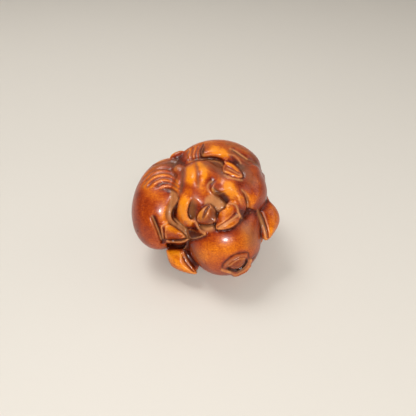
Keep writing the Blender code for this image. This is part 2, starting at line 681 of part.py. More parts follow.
HOOF_LEFT = [(164.5, 226.5), (169, 224.3), (174, 226.3), (179, 229.7), (183.5, 233.5), (186, 237),
             (183, 239), (176, 239.8), (169, 239.3), (165, 238.5), (164, 232)]
HOOF_LEFT_COLLAR = [(169, 222.3), (165, 224.3), (162, 226.8), (162, 231), (163, 238.5)]
HOOF_LEFT_UNDER = [(166, 240.3), (172, 241), (180, 240.7), (187.5, 238.5), (186.5, 241.8), (181, 243.3),
                   (173, 243.3), (167, 242.3)]
CAVE = [(165.5, 243.3), (173, 244.3), (181, 244.3), (187, 242), (185.5, 246), (183, 248.8), (175, 249),
        (166.5, 248.5)]
HOOF_TOP = [(225, 161.5), (229.5, 161.8), (234.5, 164.5), (239, 168.5), (242, 173), (243, 176.5),
            (241, 178.5), (235, 177), (229, 175), (223.5, 172.5), (222.3, 169.5), (223, 165)]
HOOF_TOP_COLLAR = [(223.8, 163), (225.5, 160.3), (228.5, 159.8)]
HOOF_TOP_SLIT = [(225.5, 165.5), (232, 168.8), (240.5, 174.3)]
HOOF_TOP_SCORE = [(226.5, 168.5), (232.5, 171.8), (240.5, 176.2)]
HOOF_TOP_BED = [(224.5, 175.3), (231, 177.9), (237, 179.4), (242, 180.2)]

# The two ears of the front head.
EAR_RIGHT = [(257, 209), (261, 203.5), (266, 198), (269, 200), (273.5, 204.5), (277.5, 211), (279.3, 217.5),
             (279, 223), (277, 229), (273, 235), (270, 239), (267, 240), (264.5, 236), (262, 228),
             (259.5, 218)]
EAR_LEFT = [(165.5, 250), (172, 249.5), (183.5, 249), (186, 255), (189.5, 262.5), (193, 268), (196.5, 274),
            (190, 274), (180, 271), (173, 267.5), (169.5, 263), (167, 257)]

# The cheek behind the lower lid.
CHEEK = [(225, 268), (231, 269.5), (235, 272.3), (239.5, 270.8), (244, 268.3), (247, 264.5)]
# Where the left ear grows out of the head, behind the cave.
EAR_LEFT_ROOT = [(165.5, 247), (172, 244), (180, 243), (188, 242), (197, 246), (199, 262), (196, 271),
                 (190, 264), (185, 256), (180, 252), (168, 252)]

EAR_RIGHT_CREASE = [(259, 210), (262.5, 218), (265.3, 226), (267, 233), (268, 239)]
EAR_LEFT_CREASE = [(181, 251), (183.5, 257.5), (187, 263.5), (191, 268.5), (195, 273)]

# The tip of the rear head's ear, standing over the haunch.
REAR_EAR_TIP = [(169.2, 161), (169.4, 157.5), (171.3, 154.6), (175, 152.1), (179.5, 150.5), (183.3, 150.4),
                (184.6, 152.3), (183, 156), (178.5, 159.8), (173, 162)]

# The eye of the front head.
LID_CREASE = [(222, 268), (223, 264), (227, 260), (232, 256), (238, 253.5), (243, 252.5), (248, 252.8),
              (248.5, 256), (250, 259), (254, 257.5), (258, 253)]
EYE_PIT = [(226, 268.5), (229, 267), (232, 268.5), (237, 269), (241.5, 267), (244.5, 262.5), (246.5, 258),
           (248, 261.5), (245, 267.5), (240, 271), (234, 272.3), (229, 271.5)]
EYE_BALL = [(227.5, 266.5), (231, 262.5), (236, 259.3), (241.5, 257.3), (245.5, 257.8), (245, 262),
            (242, 266), (237.5, 268.3), (231.5, 268.6)]
LOWER_LID = [(222, 269.5), (226, 271), (230, 272), (235, 275.3), (239.5, 273.3), (244, 270.5),
             (248.3, 267), (249.5, 263), (250.5, 259.5)]


def on_sheet(surface, mark, inset=0.0):
    """The place on the surface seen through a mark, or beside the outline where the sight misses."""
    way = sight(mark).normalized()
    hit = surface.tree.ray_cast(EYE, way)[0]
    if hit is None:
        beside = EYE + way * (MIDDLE - EYE).dot(way)
        hit = surface.tree.find_nearest(beside)[0]
        hit = EYE + way * (hit - EYE).dot(way)
    return hit + way * inset


def far_side(skin, on):
    """The far side in relief: folds, a leg drawn up along the flank, and the rear head's eye."""
    row, width, depth, ends = MOUTH
    cut(skin, on.route(row, 0.0), width, depth, ends)
    skin.transform(HALF_ROUND)
    shown = Shown(skin)
    shown.step(LEG_UNDER, 0.5, 1.4, 3.0, 1.1, 2.4)
    shown.groove(LEG_OVER, 0.7, 0.8, (0.25, 0.1))
    shown.groove(BACK_VALLEY, 0.9, 1.0, (0.2, 0.25))
    shown.groove(SPINE, 1.0, 0.5, (0.3, 0.3))
    for row in FAR_FOLDS:
        shown.groove(row, 0.42, 0.8, (0.12, 0.25))
    for row in RUMP_FOLDS:
        shown.groove(row, 0.5, 0.8, (0.2, 0.25))
    for row in SNOUT_FOLDS:
        shown.groove(row, 0.35, 0.6, (0.2, 0.2))
    shown.swell(FAR_COLLAR, 0.6, 0.6, 0.6, (0.1, 0.1))
    shown.hollow(FAR_EYE_PIT, 0.9, 0.5)
    shown.boss(FAR_EYE_BALL, 1.0, 1.6, 0.3)
    shown.groove(FAR_LID, 0.26, 0.6, (0.15, 0.15))
    skin.transform(HALF_ROUND)


def shown_masses(skin):
    """Limbs, valleys and folds of the shown side: the large steps of the relief."""
    shown = Shown(skin)
    shown.brow(TOP_THIGH, THIGH_BODY, 1.7, 2.6, 3.0, 0.5, 1.4)
    shown.brow(BELLY_RIM, BELLY_BODY, 0.6, 1.0, 5.0, 1.0, 1.2)
    shown.brow(BACK_FOLD, FOLD_BODY, 0.9, 1.3, 4.0, 1.1, 2.2)
    shown.brow(SHANK, SHANK_BODY, 3.4, 4.8, 5.5, 1.1, 6.0, 0.8)
    shown.step(SHANK_BACK, 0.6, 1.6, 3.5, 1.0, 1.6, (0.25, 0.15))
    shown.hollow(NOTCH, 1.3, 0.45)
    shown.brow(RUMP_FOOT, RUMP_BODY, 0.9, 1.6, 3.0, 1.0, 1.2)
    shown.swell(BELLY_LEFT, 2.3, 0.5, 1.2, (0.3, 0.4))
    shown.swell(BELLY_RIGHT, 1.9, 0.4, 1.2, (0.3, 0.4))
    shown.groove(BELLY_CREASE, 0.55, 0.35, (0.2, 0.4))
    shown.groove(BELLY_VALLEY, 0.85, 0.9, (0.35, 0.1))
    shown.swell(FORELEG, [1.6, 1.9, 1.9, 1.8, 1.8, 1.7, 1.5], 1.3, 0.6, (0.35, 0.05))
    shown.step(POCKET, 0.1, 0.8, 1.5, 1.3, 3.8, (0.3, 0.1))
    shown.hollow(LEDGE, 0.7, 0.4)
    shown.hollow(VALLEY, 1.7, 0.5)
    for row in HAUNCH_RIDGES:
        shown.swell(row, 0.7, 0.22, 0.8, (0.15, 0.1))
    for row in HAUNCH_FOLDS:
        shown.groove(row, 0.4, 0.75, (0.15, 0.1))
    for row in NAPE_FOLDS:
        shown.groove(row, 0.4, 0.85, (0.1, 0.15))
    shown.groove(BACK_CREASE, 0.6, 0.8)
    shown.groove(BACK_DIP, 0.8, 0.5)
    shown.groove(HAUNCH_CREASE, 0.6, 1.4, (0.2, 0.05))
    shown.groove(LID_CREASE, 0.24, 0.55, (0.1, 0.15))


def shown_hooves(skin):
    """Hooves with their collars, the cave under the left one and the eye, raised out of the relief."""
    shown = Shown(skin)
    shown.hollow(CAVE, 3.2, 0.5)
    shown.boss(HOOF_FRONT, 2.6, 2.2, 0.8)
    shown.swell(HOOF_FRONT_COLLAR, 0.7, 0.9, 0.6, (0.08, 0.08))
    shown.boss(HOOF_MIDDLE, 2.1, 2.3, 0.5)
    shown.boss(HOOF_FORE, 1.6, 1.6, 0.6)
    shown.swell(HOOF_FORE_COLLAR, 0.55, 0.7, 0.6, (0.08, 0.08))
    shown.boss(HOOF_LEFT, 1.9, 1.9, 0.5)
    shown.swell(HOOF_LEFT_COLLAR, 0.5, 0.5, 0.6, (0.08, 0.08))
    shown.boss(HOOF_LEFT_UNDER, 0.8, 0.6, 0.2)
    shown.boss(HOOF_TOP, 1.9, 1.7, 0.7)
    shown.swell(HOOF_TOP_COLLAR, 0.5, 0.5, 0.6, (0.1, 0.1))
    shown.swell(HOOF_TOP_BED, 0.4, 0.35, 0.6)
    shown.hollow(EYE_PIT, 1.4, 0.4)
    shown.boss(EYE_BALL, 1.6, 2.6, 0.25)


def shown_cuts(skin):
    """The slits between toes: the finest cuts, made last."""
    shown = Shown(skin)
    shown.hollow(HOOF_FRONT_GAP, 0.35, 0.25)
    shown.groove(EAR_RIGHT_CREASE, 0.3, 0.7, (0.15, 0.1))
    shown.groove(EAR_LEFT_CREASE, 0.3, 0.5, (0.15, 0.1))
    shown.groove(HOOF_FRONT_SLIT, 0.26, 0.55, (0.1, 0.1))
    shown.groove(HOOF_MIDDLE_SLIT, 0.32, 0.6, (0.1, 0.2))
    shown.groove(HOOF_TOP_SLIT, 0.26, 0.5, (0.1, 0.1))
    shown.groove(HOOF_TOP_SCORE, 0.22, 0.3, (0.15, 0.15))


def strokes(spread, cell):
    """Rubbing strokes that soften a crease over about this many units."""
    return round(4.0 * (spread / cell) ** 2)


def carving(cell):
    """The whole carving as one closed skin, in units."""
    base = bodies(cell)
    on = Ball(base)
    soft = [base]
    soft += [limb(on.rows(row, 0.0)) for row in (BACK_LEG, RUMP_LEG)]
    soft.append(limb(flow([[*on_sheet(on, mark, mark[2]), 2.2] for mark in SADDLE], 4)))
    skin = fuse(soft, cell, strokes(0.8, cell))
    far_side(skin, on)
    shown_masses(skin)
    skin = fuse([skin], cell, strokes(0.2, cell))
    shown_hooves(skin)

    hooves = [
        Hoof(on, (203, 0, 0.9), (182, 11, 0.5), 5.2, 2.2, lean=0.0),
        Hoof(on, (62, -30, 0.7), (83, -23, 0.4), 5.0, 2.1, lean=0.0),
    ]
    snouts = [
        Snout((3.6, -9.5, 8.0), (-1.0, -7.6, 4.2), 5.0, 3.6),
        Snout((-4.5, 13.5, 9.5), (-11.5, 16.6, 5.6), 5.6, 3.8),
    ]
    lid = flow([[*on_sheet(on, mark, 0.3), 0.52] for mark in LOWER_LID], 4)
    cheek = flow([[*on_sheet(on, mark, 2.4), 1.3] for mark in CHEEK], 4)
    crisp = [skin, limb(lid), limb(cheek), limb(on.rows(TAIL, 0.0))]
    crisp += [hoof.form() for hoof in hooves]
    for snout in snouts:
        crisp += snout.forms()
    crisp += [
        leaf(EAR_RIGHT, (18.2, -7.3, 16.9), (0.62, -0.42, 0.66), 4.2, 0.6),
        leaf(EAR_LEFT, (-7.0, -13.4, 7.6), (-0.35, -0.75, 0.55), 4.2, 0.5),
        ear((-5.2, 20.6, 16.8), (-13.2, 16.6, 9.4), (-0.5, 0.8, 0.3), 6.6, 3.2),
        leaf(EAR_LEFT_ROOT, (-5.2, -9.6, 9.0), (-0.35, -0.75, 0.55), 5.0, 0.3),
        leaf(REAR_EAR_TIP, (-8.2, 8.0, 27.4), (-0.15, -0.5, 0.85), 1.5, 0.3),
    ]
    whole = fuse(crisp, cell, strokes(0.13, cell))
    for hoof in hooves:
        hoof.cleave(whole)
    for snout in snouts:
        snout.pierce(whole)
    shown_cuts(whole)
    return whole


def boxwood():
    """Oiled boxwood, warm orange brown."""
    wood = bpy.data.materials.new("boxwood")
    wood.use_nodes = True
    face = wood.node_tree.nodes["Principled BSDF"]
    face.inputs["Base Color"].default_value = (0.42, 0.13, 0.03, 1.0)
    face.inputs["Roughness"].default_value = 0.32
    face.inputs["Metallic"].default_value = 0.0
    return wood


def main():
    clear_scene()
    skin = carving(CELL)
    spots = points_of(skin)
    low = spots.min(0)
    high = spots.max(0)
    centre = Vector(((low[0] + high[0]) / 2, (low[1] + high[1]) / 2, 0.0))
    skin.transform(Matrix.Scale(UNIT, 4) @ Matrix.Translation(-centre))
    skin.name = "pig_carving"
    pig = bpy.data.objects.new("pig_carving", skin)
    bpy.context.collection.objects.link(pig)
    skin.materials.append(boxwood())

    thin = pig.modifiers.new("thin", "DECIMATE")
    faces = 2 * len(skin.polygons)
    thin.ratio = min(1.0, SOLID_TRIANGLES / faces)

    # The block that takes off the lowest rounding, so the carving stands on a flat.
    block = bmesh.new()
    place = Matrix.Translation((0.0, 0.0, -0.5 * WIDTH)) @ Matrix.Diagonal((2 * WIDTH, 2 * WIDTH, WIDTH, 1.0))
    bmesh.ops.create_cube(block, size=1.0, matrix=place)
    data = bpy.data.meshes.new("floor_cut")
    block.to_mesh(data)
    block.free()
    cutter = bpy.data.objects.new("floor_cut", data)
    cutter.hide_render = True
    cutter.display_type = "WIRE"
    bpy.context.collection.objects.link(cutter)
    level = pig.modifiers.new("level", "BOOLEAN")
    level.operation = "DIFFERENCE"
    level.object = cutter

    skin.shade_smooth()
    skin.set_sharp_from_angle(angle=math.radians(50))


main()
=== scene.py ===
"""The curled pigs in polished boxwood, on a pale floor in soft light.

The ball is laid out in forty-fifths of its width, so at the real width of 45 mm a number below
is a millimetre, unless it is a mark. Marks are pixel places in the 416 by 416 photograph of the
carving, and they lay out the relief, its wear, and its painted light and shade.
"""
import math

import bmesh
import bpy
import numpy as np
from mathutils import Matrix, Vector
from mathutils.bvhtree import BVHTree


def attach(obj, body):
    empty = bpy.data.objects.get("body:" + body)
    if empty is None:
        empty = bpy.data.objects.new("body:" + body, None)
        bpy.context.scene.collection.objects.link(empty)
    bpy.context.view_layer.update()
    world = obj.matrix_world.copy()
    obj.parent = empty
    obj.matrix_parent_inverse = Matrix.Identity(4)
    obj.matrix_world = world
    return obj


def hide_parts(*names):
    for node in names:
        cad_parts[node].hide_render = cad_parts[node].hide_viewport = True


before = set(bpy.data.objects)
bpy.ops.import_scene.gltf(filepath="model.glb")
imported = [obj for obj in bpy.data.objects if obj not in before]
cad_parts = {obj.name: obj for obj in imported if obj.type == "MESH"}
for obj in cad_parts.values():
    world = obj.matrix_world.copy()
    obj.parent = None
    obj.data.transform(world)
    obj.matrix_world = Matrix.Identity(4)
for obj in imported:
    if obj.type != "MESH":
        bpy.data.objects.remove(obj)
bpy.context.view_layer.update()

# Driving dimensions.
WIDTH = 0.045
UNIT = WIDTH / 45.0
MIDDLE = Vector((0.0, 0.0, 16.0))
# The side that the carving shows leans back this many degrees from upright.
LEAN = 38.0
# How far from the middle is well outside the ball.
OUTSIDE = 60.0


def heading(across, up):
    """Direction out of the middle: degrees right and degrees up from straight ahead."""
    a = math.radians(across)
    u = math.radians(up)
    return Vector((math.sin(a) * math.cos(u), -math.cos(a) * math.cos(u), math.sin(u)))


def frame_of(long, face):
    """A rotation whose columns are the long axis, the width axis and the way the face looks."""
    u = Vector(long).normalized()
    n = Vector(face)
    n = (n - n.dot(u) * u).normalized()
    return Matrix((u, n.cross(u), n)).transposed()


def turned(about_x, about_y, about_z):
    """A rotation in degrees, about x first and z last."""
    x = Matrix.Rotation(math.radians(about_x), 3, "X")
    y = Matrix.Rotation(math.radians(about_y), 3, "Y")
    z = Matrix.Rotation(math.radians(about_z), 3, "Z")
    return z @ y @ x


def ease(t):
    """Goes smoothly from nothing to one as t does."""
    t = np.clip(t, 0, 1)
    return t * t * (3 - 2 * t)


def flow(points, per):
    """A smooth curve through rows of numbers, with this many steps from each to the next."""
    p = np.asarray(points, float)
    q = np.vstack([2 * p[0] - p[1], p, 2 * p[-1] - p[-2]])
    rows = []
    for i in range(len(p) - 1):
        a, b, c, d = q[i:i + 4]
        for t in np.arange(per) / per:
            bend = (2 * a - 5 * b + 4 * c - d) * t ** 2 + (3 * b - a - 3 * c + d) * t ** 3
            rows.append(0.5 * (2 * b + (c - a) * t + bend))
    rows.append(p[-1])
    return np.array(rows)


def ball(centre, radii, turn):
    """A rounded form: a sphere drawn out to three radii, and turned unless turn is None."""
    shape = bmesh.new()
    place = Matrix.Translation(Vector(centre))
    if turn is not None:
        place = place @ turn.to_4x4()
    place = place @ Matrix.Diagonal((*radii, 1.0))
    bmesh.ops.create_icosphere(shape, subdivisions=4, radius=1.0, matrix=place)
    return shape


def settled(thing):
    """The mesh that an object's modifiers give. The object itself is thrown away."""
    bpy.context.collection.objects.link(thing)
    mesh = bpy.data.meshes.new_from_object(thing.evaluated_get(bpy.context.evaluated_depsgraph_get()))
    bpy.data.objects.remove(thing)
    return mesh


def limb(rows):
    """A round limb swept along rows of x, y, z, radius, with rounded ends."""
    data = bpy.data.curves.new("limb", "CURVE")
    data.dimensions = "3D"
    data.bevel_depth = 1.0
    data.bevel_resolution = 6
    data.use_fill_caps = True
    line = data.splines.new("POLY")
    line.points.add(len(rows) - 1)
    for point, row in zip(line.points, rows):
        point.co = (row[0], row[1], row[2], 1.0)
        point.radius = row[3]
    swept = settled(bpy.data.objects.new("limb", data))
    shape = bmesh.new()
    shape.from_mesh(swept)
    bpy.data.meshes.remove(swept)
    for row in (rows[0], rows[-1]):
        place = Matrix.Translation(row[:3]) @ Matrix.Scale(row[3], 4)
        bmesh.ops.create_icosphere(shape, subdivisions=3, radius=1.0, matrix=place)
    return shape


def fuse(shapes, cell, soften):
    """Grows separate closed forms into one skin, then rubs it down by a number of strokes."""
    data = bpy.data.meshes.new("fused")
    whole = bmesh.new()
    for shape in shapes:
        if isinstance(shape, bpy.types.Mesh):
            whole.from_mesh(shape)
            continue
        piece = bpy.data.meshes.new("piece")
        shape.to_mesh(piece)
        shape.free()
        whole.from_mesh(piece)
        bpy.data.meshes.remove(piece)
    whole.to_mesh(data)
    whole.free()
    thing = bpy.data.objects.new("fused", data)
    skin = thing.modifiers.new("skin", "REMESH")
    skin.mode = "VOXEL"
    skin.voxel_size = cell
    skin.adaptivity = 0.0
    if soften:
        rub = thing.modifiers.new("rub", "SMOOTH")
        rub.factor = 0.5
        rub.iterations = soften
    fused = settled(thing)
    bpy.data.meshes.remove(data)
    return fused


def strokes(spread, cell):
    """Rubbing strokes that soften a crease over about this many units."""
    return round(4.0 * (spread / cell) ** 2)


def points_of(mesh):
    spots = np.empty(len(mesh.vertices) * 3)
    mesh.vertices.foreach_get("co", spots)
    return spots.reshape(-1, 3)


def normals_of(mesh):
    ways = np.empty(len(mesh.vertices) * 3)
    mesh.vertices.foreach_get("normal", ways)
    return ways.reshape(-1, 3)


def move_to(mesh, spots):
    mesh.vertices.foreach_set("co", spots.ravel())
    mesh.update()


class Ball:
    """The ball's surface, for laying forms and cuts on it."""

    def __init__(self, mesh):
        spots = [v.co.copy() for v in mesh.vertices]
        faces = [tuple(f.vertices) for f in mesh.polygons]
        self.tree = BVHTree.FromPolygons(spots, faces)

    def struck(self, way):
        """Where a way out of the middle leaves the surface, and how the surface faces there."""
        return self.tree.ray_cast(MIDDLE + way * OUTSIDE, -way)[:2]

    def spot(self, across, up, lift=0.0):
        """The place on the surface along a heading, raised by a lift."""
        way = heading(across, up)
        return self.struck(way)[0] + way * lift

    def rows(self, stations):
        """Rows of x, y, z, radius from stations of across, up, lift, radius."""
        return flow([[*self.spot(*place), radius] for *place, radius in stations], 5)

    def route(self, stations):
        """A line on the surface from stations of across and up."""
        return flow([list(self.spot(*place)) for place in stations], 5)


def reach_of(spots, line, width):
    """Which points are near a line, how far each is from it and how far along it."""
    middle = (line.min(0) + line.max(0)) / 2
    size = np.linalg.norm(line - middle, axis=1).max() + width
    near = np.where(np.linalg.norm(spots - middle, axis=1) < size)[0]
    p = spots[near]
    best = np.full(len(near), 1e9)
    part = np.zeros(len(near))
    for i in range(len(line) - 1):
        step = line[i + 1] - line[i]
        h = np.clip((p - line[i]) @ step / max(step @ step, 1e-12), 0, 1)
        gap = np.linalg.norm(p - line[i] - h[:, None] * step, axis=1)
        closer = gap < best
        best[closer] = gap[closer]
        part[closer] = (i + h[closer]) / (len(line) - 1)
    return near, best, part


def cut(mesh, line, width, depth, ends):
    """Gouges a rounded valley along a line, running out at both ends."""
    spots = points_of(mesh)
    near, gap, part = reach_of(spots, line, 2.6 * width)
    sink = depth * ease(np.minimum(part, 1 - part) / ends) * np.exp(-(gap / width) ** 2)
    spots[near] -= normals_of(mesh)[near] * sink[:, None]
    move_to(mesh, spots)


def press(mesh, centre, facing, radii, depth):
    """Presses a rounded hollow into the face of an oval patch."""
    spots = points_of(mesh)
    q = (spots - np.array(centre)) @ np.array(facing) / radii
    spots -= np.array(facing.col[2]) * (depth * ease(1 - (q ** 2).sum(1)))[:, None]
    move_to(mesh, spots)


# The eye that the marks belong to. A mark counts pixels right and down over the photograph.
PHOTO_WIDTH = 416.0
EYE_AWAY = 138.7
MARKS_PER_SLOPE = 450.0
STRAIGHT_ON = (PHOTO_WIDTH / 2, PHOTO_WIDTH / 2)
MIDDLE_MARK = (205.0, 207.0)
ASIDE = Vector((1.0, 0.0, 0.0))
AHEAD = Vector((0.0, math.cos(math.radians(LEAN)), -math.sin(math.radians(LEAN))))
ABOVE = Vector((0.0, math.sin(math.radians(LEAN)), math.cos(math.radians(LEAN))))


def sight(mark):
    """The way from the eye through a mark."""
    right = (float(mark[0]) - STRAIGHT_ON[0]) / MARKS_PER_SLOPE
    down = (float(mark[1]) - STRAIGHT_ON[1]) / MARKS_PER_SLOPE
    return AHEAD + right * ASIDE - down * ABOVE


EYE = MIDDLE - EYE_AWAY * sight(MIDDLE_MARK)
# What counts as the near side: how far it may turn away, as a cosine, and lie behind the middle.
TURNED_AWAY = -0.3
BEHIND = 6.0


def gap_to(marks, line):
    """Distance of marks from a drawn line, the side they lie on and how far along it they are."""
    best = np.full(len(marks), 1e9)
    side = np.ones(len(marks))
    part = np.zeros(len(marks))
    for i in range(len(line) - 1):
        step = line[i + 1] - line[i]
        w = marks - line[i]
        h = np.clip(w @ step / max(step @ step, 1e-12), 0, 1)
        gap = np.hypot(w[:, 0] - h * step[0], w[:, 1] - h * step[1])
        closer = gap < best
        best[closer] = gap[closer]
        part[closer] = (i + h[closer]) / (len(line) - 1)
        side[closer] = np.sign(step[0] * w[closer, 1] - step[1] * w[closer, 0])
    return best, side, part


def within(marks, outline):
    """Distance of marks inside a closed outline, less than nothing outside it."""
    best = np.full(len(marks), 1e9)
    inside = np.zeros(len(marks), bool)
    for i in range(len(outline)):
        a = outline[i - 1]
        b = outline[i]
        step = b - a
        w = marks - a
        h = np.clip(w @ step / max(step @ step, 1e-12), 0, 1)
        best = np.minimum(best, np.hypot(w[:, 0] - h * step[0], w[:, 1] - h * step[1]))
        across = (a[1] > marks[:, 1]) != (b[1] > marks[:, 1])
        rise = b[1] - a[1] if b[1] != a[1] else 1e-9
        inside ^= across & (marks[:, 0] < a[0] + (marks[:, 1] - a[1]) / rise * step[0])
    return np.where(inside, best, -best)


def ring(points):
    """A smooth closed outline through marks."""
    return flow([*points[-2:], *points, *points[:2]], 4)[8:-9]


def rounded(t, full=0.5):
    """Rises from nothing and levels off at one: as a quarter circle at 0.5, gentler above that."""
    return (1 - (1 - np.clip(t, 0, 1)) ** 2) ** full


def links_of(mesh):
    """The two ends of every edge."""
    ends = np.empty(len(mesh.edges) * 2, dtype=np.int64)
    mesh.edges.foreach_get("vertices", ends)
    return ends.reshape(-1, 2)


def run_out(part, ends):
    """One along the middle of a line, fading to nothing over a share of it at each end."""
    return ease(part / ends[0]) * ease((1 - part) / ends[1])


# Round a raised form: how far the ground under it and its rim are evened out, how wide the rim is
# and how wide the trench.
GROUND_EVENED = 1.5
RIM_EVENED = 0.7
RIM_WIDE = 0.45
TRENCH_WIDE = 0.4


class Shown:
    """The side of a skin that faces the eye, carved in relief by marks."""

    def __init__(self, mesh):
        self.mesh = mesh
        self.ends = links_of(mesh)
        spots = points_of(mesh)
        some = self.ends[::50]
        self.edge = float(np.median(np.linalg.norm(spots[some[:, 0]] - spots[some[:, 1]], axis=1)))
        self.look()

    def evened(self, values, chosen, free, spread):
        """Values at chosen points averaged with their neighbours over about this many units."""
        order = np.full(len(self.spots), -1)
        order[self.near[chosen]] = np.arange(len(chosen))
        ends = order[self.ends]
        ends = ends[(ends >= 0).all(1)]
        a = ends[:, 0]
        b = ends[:, 1]
        count = len(chosen)
        friends = np.bincount(a, minlength=count) + np.bincount(b, minlength=count) + 1.0
        for _ in range(strokes(spread, self.edge)):
            total = values + np.bincount(a, values[b], count) + np.bincount(b, values[a], count)
            values = np.where(free, total / friends, values)
        return values

    def look(self):
        """Works out the mark that every point of the near side falls on."""
        self.spots = points_of(self.mesh)
        ways = normals_of(self.mesh)
        sights = self.spots - np.array(EYE)
        deep = sights @ np.array(AHEAD)
        toward = -sights / np.linalg.norm(sights, axis=1)[:, None]
        facing = (toward * ways).sum(1)
        self.near = np.where((facing > TURNED_AWAY) & (deep < EYE_AWAY + BEHIND))[0]
        deep = deep[self.near]
        right = sights[self.near] @ np.array(ASIDE)
        rise = sights[self.near] @ np.array(ABOVE)
        self.marks = np.stack([STRAIGHT_ON[0] + MARKS_PER_SLOPE * right / deep,
                               STRAIGHT_ON[1] - MARKS_PER_SLOPE * rise / deep], 1)
        self.mark_size = deep / MARKS_PER_SLOPE
        # What faces the eye moves along the sight. What turns away moves more along its own normal.
        share = np.clip(facing[self.near] / 0.5, 0.25, 1)[:, None]
        push = share * toward[self.near] + (1 - share) * ways[self.near]
        self.push = push / np.linalg.norm(push, axis=1)[:, None]

    def lift(self, chosen, amount):
        """Moves chosen points of the near side towards the eye."""
        self.spots[self.near[chosen]] += self.push[chosen] * amount[:, None]
        move_to(self.mesh, self.spots)
        self.look()

    def close_to(self, line, reach):
        """Which points have marks in the box round a line, widened by a reach in marks."""
        low = line.min(0) - reach
        high = line.max(0) + reach
        return np.where(((self.marks > low) & (self.marks < high)).all(1))[0]

    def step(self, points, rise, shoulder, reach, sink, drop, ends=(0.15, 0.15)):
        """A carved edge with its high ground on the right hand as the line is drawn."""
        line = flow(points, 5)
        chosen = self.close_to(line, 4.2 * max(reach, drop))
        gap, side, part = gap_to(self.marks[chosen], line)
        gap = gap * self.mark_size[chosen]
        up = rise * rounded(gap / shoulder) * (1 - ease((gap - shoulder) / (reach - shoulder)))
        down = -sink * (1 - ease(gap / drop))
        self.lift(chosen, np.where(side > 0, up, down) * run_out(part, ends))

    def brow(self, edge, back, rise, shoulder, soft, sink, drop, full=0.5):
        """A mass with one carved edge that stands over lower ground and dies away at its back."""
        edge = flow(edge, 5)
        back = flow([edge[-1], *back, edge[0]], 5)
        outline = np.vstack([edge, back[1:-1]])
        chosen = self.close_to(outline, 4.0 * drop)
        marks = self.marks[chosen]
        size = self.mark_size[chosen]
        inside = within(marks, outline) > 0
        gap, _, part = gap_to(marks, edge)
        behind = gap_to(marks, back)[0]
        up = rise * rounded(gap * size / shoulder, full) * ease(behind * size / soft)
        fade = run_out(part, (0.15, 0.15)) * (gap <= behind + 0.01)
        down = -sink * (1 - ease(gap * size / drop)) * fade
        self.lift(chosen, np.where(inside, up, down))

    def swell(self, points, half, height, full, ends=(0.2, 0.2)):
        """A rounded ridge along a line; half its width may differ at each mark."""
        line = flow(points, 5)
        halves = np.interp(np.linspace(0, 1, len(line)), np.linspace(0, 1, np.size(half)), np.ravel(half))
        chosen = self.close_to(line, 4.2 * float(np.max(half)))
        gap, _, part = gap_to(self.marks[chosen], line)
        wide = np.interp(part, np.linspace(0, 1, len(line)), halves)
        t = np.clip(1 - (gap * self.mark_size[chosen] / wide) ** 2, 0, 1)
        self.lift(chosen, height * run_out(part, ends) * t ** full)

    def groove(self, points, width, depth, ends=(0.15, 0.15)):
        """A rounded groove along a line."""
        line = flow(points, 5)
        chosen = self.close_to(line, 10.0 * width)
        gap, _, part = gap_to(self.marks[chosen], line)
        across = np.exp(-(gap * self.mark_size[chosen] / width) ** 2)
        self.lift(chosen, -depth * run_out(part, ends) * across)

    def grooves(self, lines, *cut):
        """Grooves alike, along each of several lines."""
        for line in lines:
            self.groove(line, *cut)

    def boss(self, points, height, shoulder, trench):
        """A rounded form raised on smoothed ground inside an outline, with a thin trench round it."""
        outline = ring(points)
        chosen = self.close_to(outline, 2.0)
        inside = within(self.marks[chosen], outline) > 0
        ground = self.spots[self.near[chosen]]
        for k in range(3):
            ground[:, k] = self.evened(ground[:, k], chosen, inside, GROUND_EVENED)
        self.spots[self.near[chosen]] = ground
        self.lift(chosen, np.zeros(len(chosen)))
        chosen = self.close_to(outline, 8.0)
        inside = within(self.marks[chosen], outline) * self.mark_size[chosen]
        up = height * rounded(inside / shoulder)
        down = -trench * np.exp(-(inside / TRENCH_WIDE) ** 2)
        up = self.evened(np.where(inside > 0, up, 0.0), chosen, inside > RIM_WIDE, RIM_EVENED)
        self.lift(chosen, np.where(inside > 0, up, down))

    def hollow(self, points, depth, wall):
        """A sunk floor inside an outline."""
        outline = ring(points)
        chosen = self.close_to(outline, 2.0)
        inside = within(self.marks[chosen], outline) * self.mark_size[chosen]
        self.lift(chosen, -depth * ease(inside / wall))


def leaf(points, middle, face, thick, bow):
    """A flap whose outline is drawn by marks: a lens with its rim on one plane."""
    face = Vector(face).normalized()
    middle = Vector(middle)
    rim = []
    for mark in ring(points):
        way = sight(mark)
        rim.append(EYE + way * ((middle - EYE).dot(face) / way.dot(face)))
    centre = sum(rim, Vector()) / len(rim)
    shape = bmesh.new()
    tops = []
    for sign in (1, -1):
        # Rings from the middle towards the rim, as shares of the way.
        layers = []
        for s in (0.25, 0.5, 0.7, 0.85, 0.95):
            high = sign * thick / 2 * math.sqrt(1 - s ** 2.2) - bow * s * s
            layers.append([shape.verts.new(centre + s * (p - centre) + high * face) for p in rim])
        for inner, outer in zip(layers, layers[1:]):
            for i in range(len(rim)):
                shape.faces.new((inner[i - 1], inner[i], outer[i], outer[i - 1]))
        tip = shape.verts.new(centre + sign * thick / 2 * face)
        for i in range(len(rim)):
            shape.faces.new((tip, layers[0][i], layers[0][i - 1]))
        tops.append(layers[-1])
    edge = [shape.verts.new(p - bow * face) for p in rim]
    for layer in tops:
        for i in range(len(rim)):
            shape.faces.new((layer[i - 1], layer[i], edge[i], edge[i - 1]))
    bmesh.ops.recalc_face_normals(shape, faces=shape.faces)
    return shape


# The slit between the two toes of a far hoof, and the nostrils: radii, depth and how far aside.
TOE_SLIT_DEEP = 0.65
TOE_SLIT_WIDE = 0.36
NOSTRIL = (0.8, 1.15, 1.2)
NOSTRIL_DEEP = 0.9
NOSTRIL_ASIDE = 0.40


